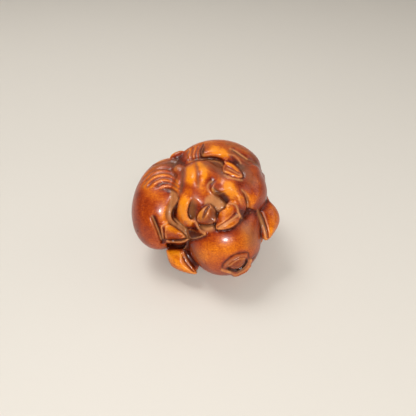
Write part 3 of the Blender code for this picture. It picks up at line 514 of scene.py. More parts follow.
class Hoof:
    """A two-toed foot laid on the ball from its heel to its tip."""

    def __init__(self, surface, toe, heel, width, thick):
        a = surface.spot(*toe)
        b = surface.spot(*heel)
        self.centre = (a + b) / 2
        self.half = (a - b).length / 2
        self.frame = frame_of(a - b, surface.struck((self.centre - MIDDLE).normalized())[1])
        self.width = width / 2
        self.thick = thick

    def form(self):
        """An almond that narrows to the tip, with a raised collar where the leg meets it."""
        shape = bmesh.new()
        bmesh.ops.create_icosphere(shape, subdivisions=5, radius=1.0)
        for v in shape.verts:
            x, y, z = v.co
            slim = 1.0 - 0.5 * max(x, 0.0) ** 2 - 0.10 * max(-x, 0.0) ** 2
            collar = 0.25 * math.exp(-((x + 0.70) / 0.10) ** 2) / self.thick
            swell = slim + collar
            v.co = (x * self.half * 1.05, y * self.width * swell, z * self.thick * swell)
        bmesh.ops.transform(shape, matrix=self.frame.to_4x4(), verts=shape.verts)
        bmesh.ops.translate(shape, vec=self.centre, verts=shape.verts)
        return shape

    def cleave(self, mesh):
        """Cuts the slit between the two toes."""
        spots = points_of(mesh)
        q = (spots - np.array(self.centre)) @ np.array(self.frame)
        x = q[:, 0] / self.half
        run = np.clip((x + 0.8) / 0.35, 0, 1) * (x < 1.15)
        y = q[:, 1]
        on = (q[:, 2] > -0.3 * self.thick) & (q[:, 2] < self.thick + 0.6)
        sink = TOE_SLIT_DEEP * run * on * np.exp(-(y / TOE_SLIT_WIDE) ** 2)
        spots -= normals_of(mesh) * sink[:, None]
        move_to(mesh, spots)


def ear(root, tip, face, width, thick):
    """A flop ear: a flattened leaf with a rounded point."""
    root = Vector(root)
    tip = Vector(tip)
    half = (tip - root).length / 2
    shape = bmesh.new()
    bmesh.ops.create_icosphere(shape, subdivisions=4, radius=1.0)
    for v in shape.verts:
        x, y, z = v.co
        slim = 1.0 - 0.42 * max(x, 0.0) ** 2
        v.co = (x * half * 1.04, y * width / 2 * slim, z * thick / 2 * math.sqrt(slim))
    bmesh.ops.transform(shape, matrix=frame_of(tip - root, face).to_4x4(), verts=shape.verts)
    bmesh.ops.translate(shape, vec=(root + tip) / 2, verts=shape.verts)
    return shape


class Snout:
    """A short muzzle that ends in a flat disc with two nostrils."""

    def __init__(self, root, tip, wide, narrow):
        self.root = Vector(root)
        self.tip = Vector(tip)
        self.way = (self.tip - self.root).normalized()
        # The nostrils lie side by side, on a nearly level line across the snout.
        self.side = self.way.cross(Vector((0.15, 0.2, 1.0))).normalized()
        self.wide = wide
        self.narrow = narrow

    def forms(self):
        """The muzzle as a cone and the disc at its end."""
        length = (self.tip - self.root).length
        muzzle = (self.wide, self.narrow * 0.88, length, (self.root + self.tip) / 2)
        disc = (self.narrow, self.narrow * 0.94, 1.5, self.tip + self.way * 0.25)
        found = []
        for behind, ahead, deep, spot in (muzzle, disc):
            shape = bmesh.new()
            place = Matrix.Translation(spot) @ frame_of(self.side, self.way).to_4x4()
            bmesh.ops.create_cone(shape, cap_ends=True, segments=40, radius1=behind,
                                  radius2=ahead, depth=deep, matrix=place)
            found.append(shape)
        return found

    def pierce(self, mesh):
        """Presses the two nostrils into the disc."""
        lift = self.side.cross(self.way)
        facing = Matrix((self.side, lift, self.way)).transposed()
        for s in (-1, 1):
            spot = self.tip + self.way * 1.0 + self.side * s * NOSTRIL_ASIDE * self.narrow
            press(mesh, spot, facing, NOSTRIL, NOSTRIL_DEEP)


# The big rounded bodies of the ball, as centre, radii and turn.
FRONT_HEAD = [((5.7, -10.5, 12.1), (10.9, 10.7, 10.7), None), ((7.8, -6.6, 15.0), (9.4, 9.4, 8.4), None)]
LEFT_HAUNCH = [((-12.2, 2.0, 16.0), (10.0, 15.2, 11.6), turned(24, 0, -14)),
               ((-9.0, 0.3, 21.2), (6.9, 8.8, 6.2), turned(20, 20, -10))]
TOP_BACK = [((3.9, 8.5, 20.1), (15.2, 12.6, 13.0), None)]
BELLY = [((-0.6, -2.0, 21.2), (10.3, 11.2, 10.8), None), ((10.0, 0.2, 21.6), (8.7, 10.5, 8.8), None),
         ((4.8, -1.0, 21.4), (9.4, 11.0, 9.8), None)]
UNDERSIDE = [((0.8, 1.6, 10.6), (15.5, 16.0, 11.4), None)]
RIGHT_RUMP = [((10.6, 6.5, 11.4), (9.0, 11.0, 9.2), turned(0, 0, 20))]
REAR_HEAD = [((-2.5, 12.6, 11.6), (10.6, 10.2, 10.4), None)]


def bodies(cell):
    """The bodies, each rubbed smooth by itself, then fused with a crease between them."""
    groups = (FRONT_HEAD, LEFT_HAUNCH, TOP_BACK, BELLY, UNDERSIDE, RIGHT_RUMP, REAR_HEAD)
    done = []
    for group in groups:
        rubs = round(3.0 / cell ** 2) if len(group) > 1 else 0
        done.append(fuse([ball(*row) for row in group], cell, rubs))
    return fuse(done, cell, 2)


# Limbs of the far side that swell out of the bodies, as headings on an upright ball:
# stations of across, up, lift and radius.
BACK_LEG = [(146, 18, -2.6, 3.6), (160, 18, -1.5, 3.2), (173, 15, -0.4, 2.6), (183, 10, 0.1, 2.2)]
RUMP_LEG = [(118, -6, -2.6, 3.6), (103, -13, -1.6, 3.2), (90, -20, -0.6, 2.6), (82, -24, 0.0, 2.2)]
TAIL = [(128, 10, -0.2, 1.1), (134, 0, 0.1, 1.15), (128, -9, 0.15, 1.1), (119, -5, 0.2, 1.0),
        (121, 2, 0.2, 0.85), (127, 0, 0.2, 0.7)]
# The mouth line under the front head: the route, then width, depth and how soon the ends run out.
MOUTH = ([(-12, -40), (0, -38), (12, -36), (24, -33), (33, -25)], 0.55, 0.8, 0.25)

# The far side isn't in the photograph. Its marks are made up, and are used in the same way once
# the carving is turned half round.
HALF_ROUND = Matrix.Rotation(math.pi, 4, "Z")
FAR_FOLDS = [
    [(237, 190), (246, 188.5), (256, 191), (265, 197)],
    [(238, 198), (247, 197.5), (257, 200.5), (265, 207)],
    [(239, 206), (248, 206.5), (257, 210), (264, 216)],
    [(240.5, 214), (249, 215.5), (257, 220), (262, 226)],
    [(243, 223), (250, 225.5), (256, 230)],
]
RUMP_FOLDS = [
    [(150, 200), (153, 210), (152, 222)],
    [(156.5, 199), (159.5, 209), (159, 220)],
]
BACK_VALLEY = [(236.5, 178), (236, 190), (234.5, 203), (233, 216), (235, 229), (240, 240)]
SPINE = [(148, 181), (160, 172), (176, 167), (192, 167), (206, 171.5)]
LEG_UNDER = [(214, 254.5), (206, 253), (196, 249.5), (184, 245.5), (170, 240.5), (156, 234)]
LEG_OVER = [(156, 215), (170, 221), (184, 227.5), (197, 233.5), (207, 237), (213, 236.5)]
FAR_COLLAR = [(213, 236.5), (209.5, 241), (208.7, 247), (211, 252.5), (214, 255.5)]
FAR_EYE_PIT = [(210, 269.5), (214, 266.3), (220.5, 265.3), (226.5, 267.8), (224, 272), (218, 274), (212, 273)]
FAR_EYE_BALL = [(213.5, 269.5), (217, 267.6), (222, 267.8), (223.5, 270), (219.5, 272), (215, 272)]
FAR_LID = [(206.5, 271), (209.5, 266), (215, 263.3), (222, 262.6), (228, 265), (231, 269)]
SNOUT_FOLDS = [[(232.5, 254), (236.5, 258), (238, 263)], [(236, 252), (240.5, 256.5), (242, 261)]]

# From here on the forms of the shown side, by marks.
# Where the haunch, the nape and the belly run together.
# Each mark has how deep under the skin the filling lies.
SADDLE = [(176.5, 163.5, 1.9), (178.3, 166.5, 2.1), (179, 169, 2.5), (180, 172, 3.2)]
# The deep valley between the left haunch and the foreleg, and the ledge on its left bank.
VALLEY = [(178, 196), (176.5, 200), (173.5, 205), (171.5, 210), (170.5, 215), (171.5, 219.5), (175, 223),
          (180, 226.5), (185, 231), (188.5, 236), (190, 233), (187, 228.5), (183, 225), (179, 221),
          (176.8, 217.5), (176.8, 212), (177.7, 207), (179, 201), (180.5, 195), (180, 192)]
LEDGE = [(171, 191), (175, 192), (178, 195), (178.5, 199), (176, 203), (173.5, 207), (171.8, 211),
         (171, 216), (172, 219.5), (175, 222.5), (181, 226.5), (186, 231), (190, 238), (186.5, 237.5),
         (184, 233.5), (179.5, 229.5), (173.5, 226), (169, 223), (166.3, 219), (165.3, 214), (166.3, 209),
         (168, 204.5), (169.5, 200), (170, 195)]
# Each fold of the haunch runs from the outer left over the top and down to the belly.
HAUNCH_FOLDS = [
    [(140.5, 183), (146, 176), (152, 171.3), (158, 169.3), (165, 168.8), (170, 170), (174, 173),
     (177.5, 177.5)],
    [(142.5, 187.5), (146.5, 181.5), (151, 177), (156, 174.3), (162, 172.9), (168, 173.3), (173, 175.8),
     (177.8, 180.5)],
    [(147, 188), (151, 183), (156, 179.7), (161, 178), (167, 178.1), (172, 180.3), (177.8, 184.5)],
    [(155, 187.8), (159, 185), (163, 183.3), (168, 183), (173, 185), (177.8, 188.5)],
    [(160, 190.2), (165, 189.3), (170, 189.5), (174, 191), (177.5, 194)],
]
HAUNCH_RIDGES = [
    [(144, 186.5), (148, 181.5), (153, 177.5), (158, 175.3), (163, 174.8), (169, 175.5), (174, 178),
     (178, 182)],
    [(151, 187), (155, 183.3), (159, 181), (164, 180), (170, 181), (175, 184), (178.3, 186.8)],
    [(161, 188), (164, 186.7), (169, 186), (174, 187.7), (177.8, 190.8)],
]
NAPE_FOLDS = [
    [(188.5, 149.5), (187, 154), (187.5, 160)],
    [(193.5, 147), (191.6, 152), (191, 156.5), (192, 160)],
    [(199, 145.8), (197, 150), (196, 155), (197, 159.5)],
    [(203.5, 143.3), (200.6, 147.5), (199.5, 152), (199.8, 157), (201, 159.3)],
]
FORELEG = [(187, 192), (184.5, 198), (182.8, 205), (182.3, 212), (184, 218.5), (189, 223), (193, 224.5)]
POCKET = [(193, 197), (190, 203), (188.3, 208), (187.8, 213), (189, 217.5), (192.5, 220.5)]
SHANK = [(227, 205.5), (224.5, 201.5), (221, 198.5), (217, 196), (213, 193), (211, 190), (211.5, 187),
         (214, 183), (218, 180)]
SHANK_BODY = [(222, 175), (232, 172), (242, 176), (250, 186), (253, 196), (251, 206), (248, 213), (243, 218),
              (238, 216), (232, 210)]
SHANK_BACK = [(241, 191), (244, 197), (246, 203), (246.5, 208), (245, 213), (241.5, 219)]
NOTCH = [(240, 188.5), (243, 189.5), (246, 193.5), (248.5, 199), (249, 206), (247.5, 208.5),
         (246.5, 204), (244.5, 198), (241.5, 192.5)]
RUMP_FOOT = [(257, 210.5), (251, 208.8), (247, 207.2)]
TOP_THIGH = [(227, 160.5), (222, 159), (218, 157.8), (212, 157), (206, 157.3), (203, 157.5), (201, 156),
             (200, 153), (200.5, 149), (203, 145), (206, 142)]
THIGH_BODY = [(212, 139.5), (221, 142), (229, 147), (233, 154), (231, 160)]
BELLY_BODY = [(222, 178), (214, 188), (200, 191), (187, 188), (180, 178)]
FOLD_BODY = [(263, 187), (252, 184), (241, 173), (232, 161), (226, 153)]
RUMP_BODY = [(248, 200), (250, 193), (258, 189), (267, 194), (263, 203)]
# The belly's two soft swellings with the crease between them, and the valley on their left.
BELLY_LEFT = [(190, 163), (190.5, 175), (190, 188)]
BELLY_RIGHT = [(203, 163), (204, 172), (203.5, 183)]
BELLY_CREASE = [(196, 163), (197.5, 170), (198, 178), (198.5, 187)]
BELLY_VALLEY = [(183.5, 166), (182.5, 174), (181.5, 184), (180.5, 193)]
BELLY_RIM = [(187, 161.8), (192, 160.8), (200, 160.3), (210, 160), (217, 160.8), (221.5, 163), (223, 167)]
BACK_FOLD = [(229, 149), (234, 151.5), (240, 155.5), (246, 159.5), (252, 162.5), (258, 166.5),
             (262, 171), (264.5, 176)]
BACK_CREASE = [(229, 151), (236, 153.8), (241, 157.6), (246, 161.8), (250, 165)]
BACK_DIP = [(230, 155.5), (236, 159), (240.5, 164), (243.8, 171)]
HAUNCH_CREASE = [(152, 213.5), (154.5, 219), (157, 225.5), (159.5, 232), (161.5, 238), (164, 244)]

# Hooves: the outline of the horn, the collar above it, and the slit between the toes.
HOOF_FRONT = [(226, 207), (230, 205), (234, 206), (237, 211), (240, 217), (240, 220.5), (237, 224.5),
              (232, 228), (226, 229.8), (219, 230.3), (216, 229), (215.2, 226), (215.8, 221), (217, 216),
              (219, 212), (222, 209.5)]
HOOF_FRONT_COLLAR = [(225, 207.5), (229, 204), (234, 203.5), (237, 207), (239, 213), (241.5, 218.5)]
HOOF_FRONT_SLIT = [(237, 211.5), (232, 217), (226, 221.8), (220, 225.8), (216.5, 228)]
HOOF_FRONT_GAP = [(237.5, 212.5), (239.5, 216.5), (236, 219), (230, 222.5), (223, 226.3), (218, 228),
                  (221, 225.8), (227, 221.8), (233, 217)]
HOOF_MIDDLE = [(209, 204.3), (212, 205.5), (215, 209), (216.5, 213), (216.5, 219), (215, 223),
               (210, 224.5), (204, 224.8), (199, 223.5), (196.8, 221), (196.3, 217.5), (198, 213.5),
               (201, 209.5), (205, 206)]
HOOF_MIDDLE_SLIT = [(210, 205), (207, 209), (204.3, 214.5), (202.5, 219.5)]
HOOF_FORE = [(188, 228.5), (193, 228.8), (198, 231), (203, 232.8), (207.3, 234.7), (204, 236.6),
             (200, 238.3), (195, 239.5), (190.5, 239.3), (188.5, 236), (187.5, 232)]
HOOF_FORE_COLLAR = [(193.5, 220.5), (196, 223), (197.5, 227), (200, 230.5), (204, 232.3), (207, 233.5)]
HOOF_LEFT = [(164.5, 226.5), (169, 224.3), (174, 226.3), (179, 229.7), (183.5, 233.5), (186, 237),
             (183, 239), (176, 239.8), (169, 239.3), (165, 238.5), (164, 232)]
HOOF_LEFT_COLLAR = [(169, 222.3), (165, 224.3), (162, 226.8), (162, 231), (163, 238.5)]
HOOF_LEFT_UNDER = [(166, 240.3), (172, 241), (180, 240.7), (187.5, 238.5), (186.5, 241.8), (181, 243.3),
                   (173, 243.3), (167, 242.3)]
CAVE = [(165.5, 243.3), (173, 244.3), (181, 244.3), (187, 242), (185.5, 246), (183, 248.8), (175, 249),
        (166.5, 248.5)]
HOOF_TOP = [(225, 161.5), (229.5, 161.8), (234.5, 164.5), (239, 168.5), (242, 173), (243, 176.5),
            (241, 178.5), (235, 177), (229, 175), (223.5, 172.5), (222.3, 169.5), (223, 165)]
HOOF_TOP_COLLAR = [(223.8, 163), (225.5, 160.3), (228.5, 159.8)]
HOOF_TOP_SLIT = [(225.5, 165.5), (232, 168.8), (240.5, 174.3)]
HOOF_TOP_SCORE = [(226.5, 168.5), (232.5, 171.8), (240.5, 176.2)]
HOOF_TOP_BED = [(224.5, 175.3), (231, 177.9), (237, 179.4), (242, 180.2)]

# The two ears of the front head.
EAR_RIGHT = [(257, 209), (261, 203.5), (266, 198), (269, 200), (273.5, 204.5), (277.5, 211), (279.3, 217.5),
             (279, 223), (277, 229), (273, 235), (270, 239), (267, 240), (264.5, 236), (262, 228),
             (259.5, 218)]
EAR_LEFT = [(165.5, 250), (172, 249.5), (183.5, 249), (186, 255), (189.5, 262.5), (193, 268), (196.5, 274),
            (190, 274), (180, 271), (173, 267.5), (169.5, 263), (167, 257)]

# The cheek behind the lower lid.
CHEEK = [(225, 268), (231, 269.5), (235, 272.3), (239.5, 270.8), (244, 268.3), (247, 264.5)]
# Where the left ear grows out of the head, behind the cave.
EAR_LEFT_ROOT = [(165.5, 247), (172, 244), (180, 243), (188, 242), (197, 246), (199, 262), (196, 271),
                 (190, 264), (185, 256), (180, 252), (168, 252)]

EAR_RIGHT_CREASE = [(259, 210), (262.5, 218), (265.3, 226), (267, 233), (268, 239)]
EAR_LEFT_CREASE = [(181, 251), (183.5, 257.5), (187, 263.5), (191, 268.5), (195, 273)]

# The tip of the rear head's ear, standing over the haunch.
REAR_EAR_TIP = [(169.2, 161), (169.4, 157.5), (171.3, 154.6), (175, 152.1), (179.5, 150.5), (183.3, 150.4),
                (184.6, 152.3), (183, 156), (178.5, 159.8), (173, 162)]

# The eye of the front head.
LID_CREASE = [(222, 268), (223, 264), (227, 260), (232, 256), (238, 253.5), (243, 252.5), (248, 252.8),
              (248.5, 256), (250, 259), (254, 257.5), (258, 253)]
EYE_PIT = [(226, 268.5), (229, 267), (232, 268.5), (237, 269), (241.5, 267), (244.5, 262.5), (246.5, 258),
           (248, 261.5), (245, 267.5), (240, 271), (234, 272.3), (229, 271.5)]
EYE_BALL = [(227.5, 266.5), (231, 262.5), (236, 259.3), (241.5, 257.3), (245.5, 257.8), (245, 262),
            (242, 266), (237.5, 268.3), (231.5, 268.6)]
LOWER_LID = [(222, 269.5), (226, 271), (230, 272), (235, 275.3), (239.5, 273.3), (244, 270.5),
             (248.3, 267), (249.5, 263), (250.5, 259.5)]


def through_mark(surface, mark, inset):
    """The place on the surface seen through a mark, or beside the outline where the sight misses."""
    way = sight(mark).normalized()
    hit = surface.tree.ray_cast(EYE, way)[0]
    if hit is None:
        beside = EYE + way * (MIDDLE - EYE).dot(way)
        hit = surface.tree.find_nearest(beside)[0]
        hit = EYE + way * (hit - EYE).dot(way)
    return hit + way * inset


def far_side(skin, on):
    """The far side in relief: folds, a leg drawn up along the flank, and the rear head's eye."""
    stations, *gouge = MOUTH
    cut(skin, on.route(stations), *gouge)
    skin.transform(HALF_ROUND)
    shown = Shown(skin)
    shown.step(LEG_UNDER, 0.5, 1.4, 3.0, 1.1, 2.4)
    shown.groove(LEG_OVER, 0.7, 0.8, (0.25, 0.1))
    shown.groove(BACK_VALLEY, 0.9, 1.0, (0.2, 0.25))
    shown.groove(SPINE, 1.0, 0.5, (0.3, 0.3))
    shown.grooves(FAR_FOLDS, 0.42, 0.8, (0.12, 0.25))
    shown.grooves(RUMP_FOLDS, 0.5, 0.8, (0.2, 0.25))
    shown.grooves(SNOUT_FOLDS, 0.35, 0.6, (0.2, 0.2))
    shown.swell(FAR_COLLAR, 0.6, 0.6, 0.6, (0.1, 0.1))
    shown.hollow(FAR_EYE_PIT, 0.9, 0.5)
    shown.boss(FAR_EYE_BALL, 1.0, 1.6, 0.3)
    shown.groove(FAR_LID, 0.26, 0.6, (0.15, 0.15))
    skin.transform(HALF_ROUND)


# The numbers after each form are named where its method is defined. They are in units.
def shown_masses(skin):
    """Limbs, valleys and folds of the shown side: the large steps of the relief."""
    shown = Shown(skin)
    shown.brow(TOP_THIGH, THIGH_BODY, 1.7, 2.6, 3.0, 0.5, 1.4)
    shown.brow(BELLY_RIM, BELLY_BODY, 0.6, 1.0, 5.0, 1.0, 1.2)
    shown.brow(BACK_FOLD, FOLD_BODY, 0.9, 1.3, 4.0, 1.1, 2.2)
    shown.brow(SHANK, SHANK_BODY, 3.4, 4.8, 5.5, 1.1, 6.0, 0.8)
    shown.step(SHANK_BACK, 0.6, 1.6, 3.5, 1.0, 1.6, (0.25, 0.15))
    shown.hollow(NOTCH, 1.3, 0.45)
    shown.brow(RUMP_FOOT, RUMP_BODY, 0.9, 1.6, 3.0, 1.0, 1.2)
    shown.swell(BELLY_LEFT, 2.3, 0.5, 1.2, (0.3, 0.4))
    shown.swell(BELLY_RIGHT, 1.9, 0.4, 1.2, (0.3, 0.4))
    shown.groove(BELLY_CREASE, 0.55, 0.35, (0.2, 0.4))
    shown.groove(BELLY_VALLEY, 0.85, 0.9, (0.35, 0.1))
    shown.swell(FORELEG, [1.6, 1.9, 1.9, 1.8, 1.8, 1.7, 1.5], 1.3, 0.6, (0.35, 0.05))
    shown.step(POCKET, 0.1, 0.8, 1.5, 1.3, 3.8, (0.3, 0.1))
    shown.hollow(LEDGE, 0.7, 0.4)
    shown.hollow(VALLEY, 1.7, 0.5)
    for row in HAUNCH_RIDGES:
        shown.swell(row, 0.7, 0.22, 0.8, (0.15, 0.1))
    shown.grooves(HAUNCH_FOLDS, 0.4, 0.75, (0.15, 0.1))
    shown.grooves(NAPE_FOLDS, 0.4, 0.85, (0.1, 0.15))
    shown.groove(BACK_CREASE, 0.6, 0.8)
    shown.groove(BACK_DIP, 0.8, 0.5)
    shown.groove(HAUNCH_CREASE, 0.6, 1.4, (0.2, 0.05))
    shown.groove(LID_CREASE, 0.24, 0.55, (0.1, 0.15))


def shown_hooves(skin):
    """Hooves with their collars, the cave under the left one and the eye, raised out of the relief."""
    shown = Shown(skin)
    shown.hollow(CAVE, 3.2, 0.5)
    shown.boss(HOOF_FRONT, 2.6, 2.2, 0.8)
    shown.swell(HOOF_FRONT_COLLAR, 0.7, 0.9, 0.6, (0.08, 0.08))
    shown.boss(HOOF_MIDDLE, 2.1, 2.3, 0.5)
    shown.boss(HOOF_FORE, 1.6, 1.6, 0.6)
    shown.swell(HOOF_FORE_COLLAR, 0.55, 0.7, 0.6, (0.08, 0.08))
    shown.boss(HOOF_LEFT, 1.9, 1.9, 0.5)
    shown.swell(HOOF_LEFT_COLLAR, 0.5, 0.5, 0.6, (0.08, 0.08))
    shown.boss(HOOF_LEFT_UNDER, 0.8, 0.6, 0.2)
    shown.boss(HOOF_TOP, 1.9, 1.7, 0.7)
    shown.swell(HOOF_TOP_COLLAR, 0.5, 0.5, 0.6, (0.1, 0.1))
    shown.swell(HOOF_TOP_BED, 0.4, 0.35, 0.6)
    shown.hollow(EYE_PIT, 1.4, 0.4)
    shown.boss(EYE_BALL, 1.6, 2.6, 0.25)


def shown_cuts(skin):
    """The slits between toes and the creases in the ears: the finest cuts, made last."""
    shown = Shown(skin)
    shown.hollow(HOOF_FRONT_GAP, 0.35, 0.25)
    shown.groove(EAR_RIGHT_CREASE, 0.3, 0.7, (0.15, 0.1))
    shown.groove(EAR_LEFT_CREASE, 0.3, 0.5, (0.15, 0.1))
    shown.groove(HOOF_FRONT_SLIT, 0.26, 0.55, (0.1, 0.1))
    shown.groove(HOOF_MIDDLE_SLIT, 0.32, 0.6, (0.1, 0.2))
    shown.groove(HOOF_TOP_SLIT, 0.26, 0.5, (0.1, 0.1))
    shown.groove(HOOF_TOP_SCORE, 0.22, 0.3, (0.15, 0.15))


# Hooves of the far side: toe and heel as across, up and lift, then width and thickness.
FAR_HOOVES = [((203, 0, 0.9), (182, 11, 0.5), 5.2, 2.2), ((62, -30, 0.7), (83, -23, 0.4), 5.0, 2.1)]
# Snouts of the front and the rear head: root, tip and the radius at each.
SNOUTS = [((3.6, -9.5, 8.0), (-1.0, -7.6, 4.2), 5.0, 3.6), ((-4.5, 13.5, 9.5), (-11.5, 16.6, 5.6), 5.6, 3.8)]
# Flaps: outline, a place on the rim's plane, the way that it looks, thickness and bow.
FLAPS = [
    (EAR_RIGHT, (18.2, -7.3, 16.9), (0.62, -0.42, 0.66), 4.2, 0.6),
    (EAR_LEFT, (-7.0, -13.4, 7.6), (-0.35, -0.75, 0.55), 4.2, 0.5),
    (EAR_LEFT_ROOT, (-5.2, -9.6, 9.0), (-0.35, -0.75, 0.55), 5.0, 0.3),
    (REAR_EAR_TIP, (-8.2, 8.0, 27.4), (-0.15, -0.5, 0.85), 1.5, 0.3),
]
# The rear head's other ear: root, tip, the way that it looks, width and thickness.
REAR_EAR = ((-5.2, 20.6, 16.8), (-13.2, 16.6, 9.4), (-0.5, 0.8, 0.3), 6.6, 3.2)


# How far creases are rubbed down where bodies meet, after the first relief, and at the end.
BODIES_RUBBED = 0.8
RELIEF_RUBBED = 0.2
WHOLE_RUBBED = 0.13


def bead(surface, marks, insets, radius):
    """A round limb under the skin along marks, each at its own depth."""
    rows = [[*through_mark(surface, mark, inset), radius] for mark, inset in zip(marks, insets)]
    return limb(flow(rows, 4))


def carving(cell):
    """The whole carving as one closed skin, in units."""
    base = bodies(cell)
    on = Ball(base)
    soft = [base, *(limb(on.rows(row)) for row in (BACK_LEG, RUMP_LEG))]
    soft.append(bead(on, SADDLE, [mark[2] for mark in SADDLE], 2.2))
    skin = fuse(soft, cell, strokes(BODIES_RUBBED, cell))
    far_side(skin, on)
    shown_masses(skin)
    skin = fuse([skin], cell, strokes(RELIEF_RUBBED, cell))
    shown_hooves(skin)

    hooves = [Hoof(on, *row) for row in FAR_HOOVES]
    snouts = [Snout(*row) for row in SNOUTS]
    lid = bead(on, LOWER_LID, [0.3] * len(LOWER_LID), 0.52)
    cheek = bead(on, CHEEK, [2.4] * len(CHEEK), 1.3)
    crisp = [skin, lid, cheek, limb(on.rows(TAIL)), *(hoof.form() for hoof in hooves)]
    for snout in snouts:
        crisp += snout.forms()
    crisp += [leaf(*row) for row in FLAPS]
    crisp.append(ear(*REAR_EAR))
    whole = fuse(crisp, cell, strokes(WHOLE_RUBBED, cell))
    for hoof in hooves:
        hoof.cleave(whole)
    for snout in snouts:
        snout.pierce(whole)
    shown_cuts(whole)
    return whole


# The wear, with painted shade, highlights and sheen, is given as marks too. Each row is an outline,
# how softly it ends and how much, or a line, its width and how much. Fully where no amount is given.
# Sunk floors where the stain is worn or was never polished in.
BARE_FLOORS = [
    ([(205, 199), (211, 194.5), (218, 198.5), (224, 202.5), (225, 206), (219, 210.5), (216.5, 209),
      (213, 205.3), (209, 203.5), (204, 204)], 1.0),
    (LEDGE, 1.0, 0.8),
    ([(190.5, 203), (192, 198.5), (195, 196.5), (197.5, 199), (195.5, 205), (194.5, 211), (194.8, 217),
      (194.5, 220), (190.5, 217.5), (189, 212)], 1.9, 0.45),
    ([(201, 226.5), (207, 226.5), (213, 226.5), (213.5, 229), (210, 231), (205.5, 230.5), (202, 228.5)], 1.6),
    ([(174, 218.5), (180, 221.5), (186, 227.5), (188.5, 236), (184, 229.5), (177, 224)], 0.8),
    ([(224, 267.5), (226.5, 262.5), (233, 258), (240, 255.2), (246.5, 255), (245.5, 257), (241, 257.3),
      (235, 259.8), (230.5, 262.8), (227, 267)], 0.8, 0.5),
    ([(238, 213.5), (239, 216), (235, 218.3), (229, 221.8), (222.5, 225.6), (218.5, 227.6), (222, 225),
      (228, 221), (234, 216.8)], 0.4),
    ([(182.5, 250), (186, 256), (189.5, 263), (193, 268.5), (196, 273.5), (193, 271), (188, 265.5),
      (184.5, 259.5), (181.5, 252.5)], 0.7, 0.4),
    ([(257, 209), (260, 213), (263.5, 221), (266, 229), (267.5, 237), (265.5, 238), (263, 231), (260, 222),
      (257.5, 214)], 0.7, 0.7),
]
# Edges rubbed through to pale wood, and some pale lines that are painted highlights.
BARE_AND_HIGHLIGHT_LINES = [
    ([(189, 161.5), (196, 160.8), (205, 160.2), (214, 160.8), (220, 162.5), (223, 166)], 0.28, 0.7),
    # Painted highlight along the edge of the notch.
    ([(242, 190), (245.5, 194), (247.5, 200), (248, 206.5)], 0.3, 0.8),
    # Pale lines in the top hoof's slit and along its bed.
    ([(227, 168), (234, 171.5), (241, 175.5)], 0.22, 0.8),
    (HOOF_TOP_BED, 0.3, 0.9),
    # Painted highlights along the back's fold.
    ([(230, 148.7), (235, 150.8), (241, 155), (247, 159.3)], 0.26, 1.0),
    ([(247, 159.3), (253, 162), (259, 166.5), (263, 173)], 0.24, 0.4),
    ([(228, 154.8), (233, 155), (237.5, 158.2), (241, 163.5)], 0.24, 0.7),
    # Painted highlights on the collars of the fore hoof and the front hoof.
    ([(194, 221), (196.5, 223.5), (198, 227), (200.5, 230.3), (205, 232.5)], 0.3, 0.9),
    ([(226, 206), (229, 204), (233.5, 203.8), (236.5, 206.5), (238.5, 212), (241, 218)], 0.26, 1.0),
    # Pale line on the left hoof's collar.
    ([(168, 222.5), (164.5, 224.5), (161.8, 227), (162, 231), (163, 238)], 0.22, 1.0),
    # Painted highlights: the valley's lower lip, the top edge of the left hoof's lower toe, the rim of the
    # haunch crease and the rim of the shank's flank.
    ([(170, 221.8), (175.5, 225), (181, 228.7), (185.5, 233), (188.5, 237.5)], 0.22, 0.9),
    ([(167, 241.2), (173, 242), (181, 241.6), (187, 239.5), (189.5, 238)], 0.28, 0.7),
    ([(152, 216), (154, 220.5), (156.5, 226.5), (159, 233), (161, 239)], 0.22, 0.9),
    ([(212, 181.5), (208.8, 183.5), (207.6, 187.5), (209.5, 192), (214, 195.5), (219, 198.5)], 0.3, 0.8),
    # Pale lines in the front hoof's slit and on the lower lid.
    ([(238.5, 214.5), (234.5, 218), (229, 221.6), (223, 225), (219, 227.3)], 0.35, 1.0),
    (LOWER_LID, 0.34, 0.7),
]
# Grey brown: wax and dust lodged in folds, and painted sheen in two places.
DUST_AND_SHEEN_LINES = [(row, 0.22) for row in HAUNCH_FOLDS] + [(row, 0.2) for row in NAPE_FOLDS] + [
    (BACK_CREASE, 0.5),
    (HOOF_MIDDLE_SLIT, 0.4),
    # Painted sheen on the right of the middle hoof.
    ([(213.5, 209), (214, 215), (211, 220.5)], 1.0),
    # Greyer on the right of the head.
    ([(246, 228), (251, 234), (252, 242)], 2.0),
    # Wax in the belly's valley and crease.
    (BELLY_VALLEY, 0.5),
    (BELLY_CREASE, 0.35),
    # Greyer along the top edge of the haunch.
    ([(150, 166.5), (158, 164), (166, 162.5), (174, 164.5), (179, 168)], 1.3),
    # Greyer under the belly's rim.
    ([(206, 163), (213, 165), (219, 169), (222, 174)], 1.4),
    # Painted sheen: grey brown along the top of the back.
    ([(228, 143), (238, 145.5), (248, 150), (256, 157)], 1.1),
    # Greyer on the right haunch.
    ([(243, 168), (248, 174), (252, 181)], 1.6),
]
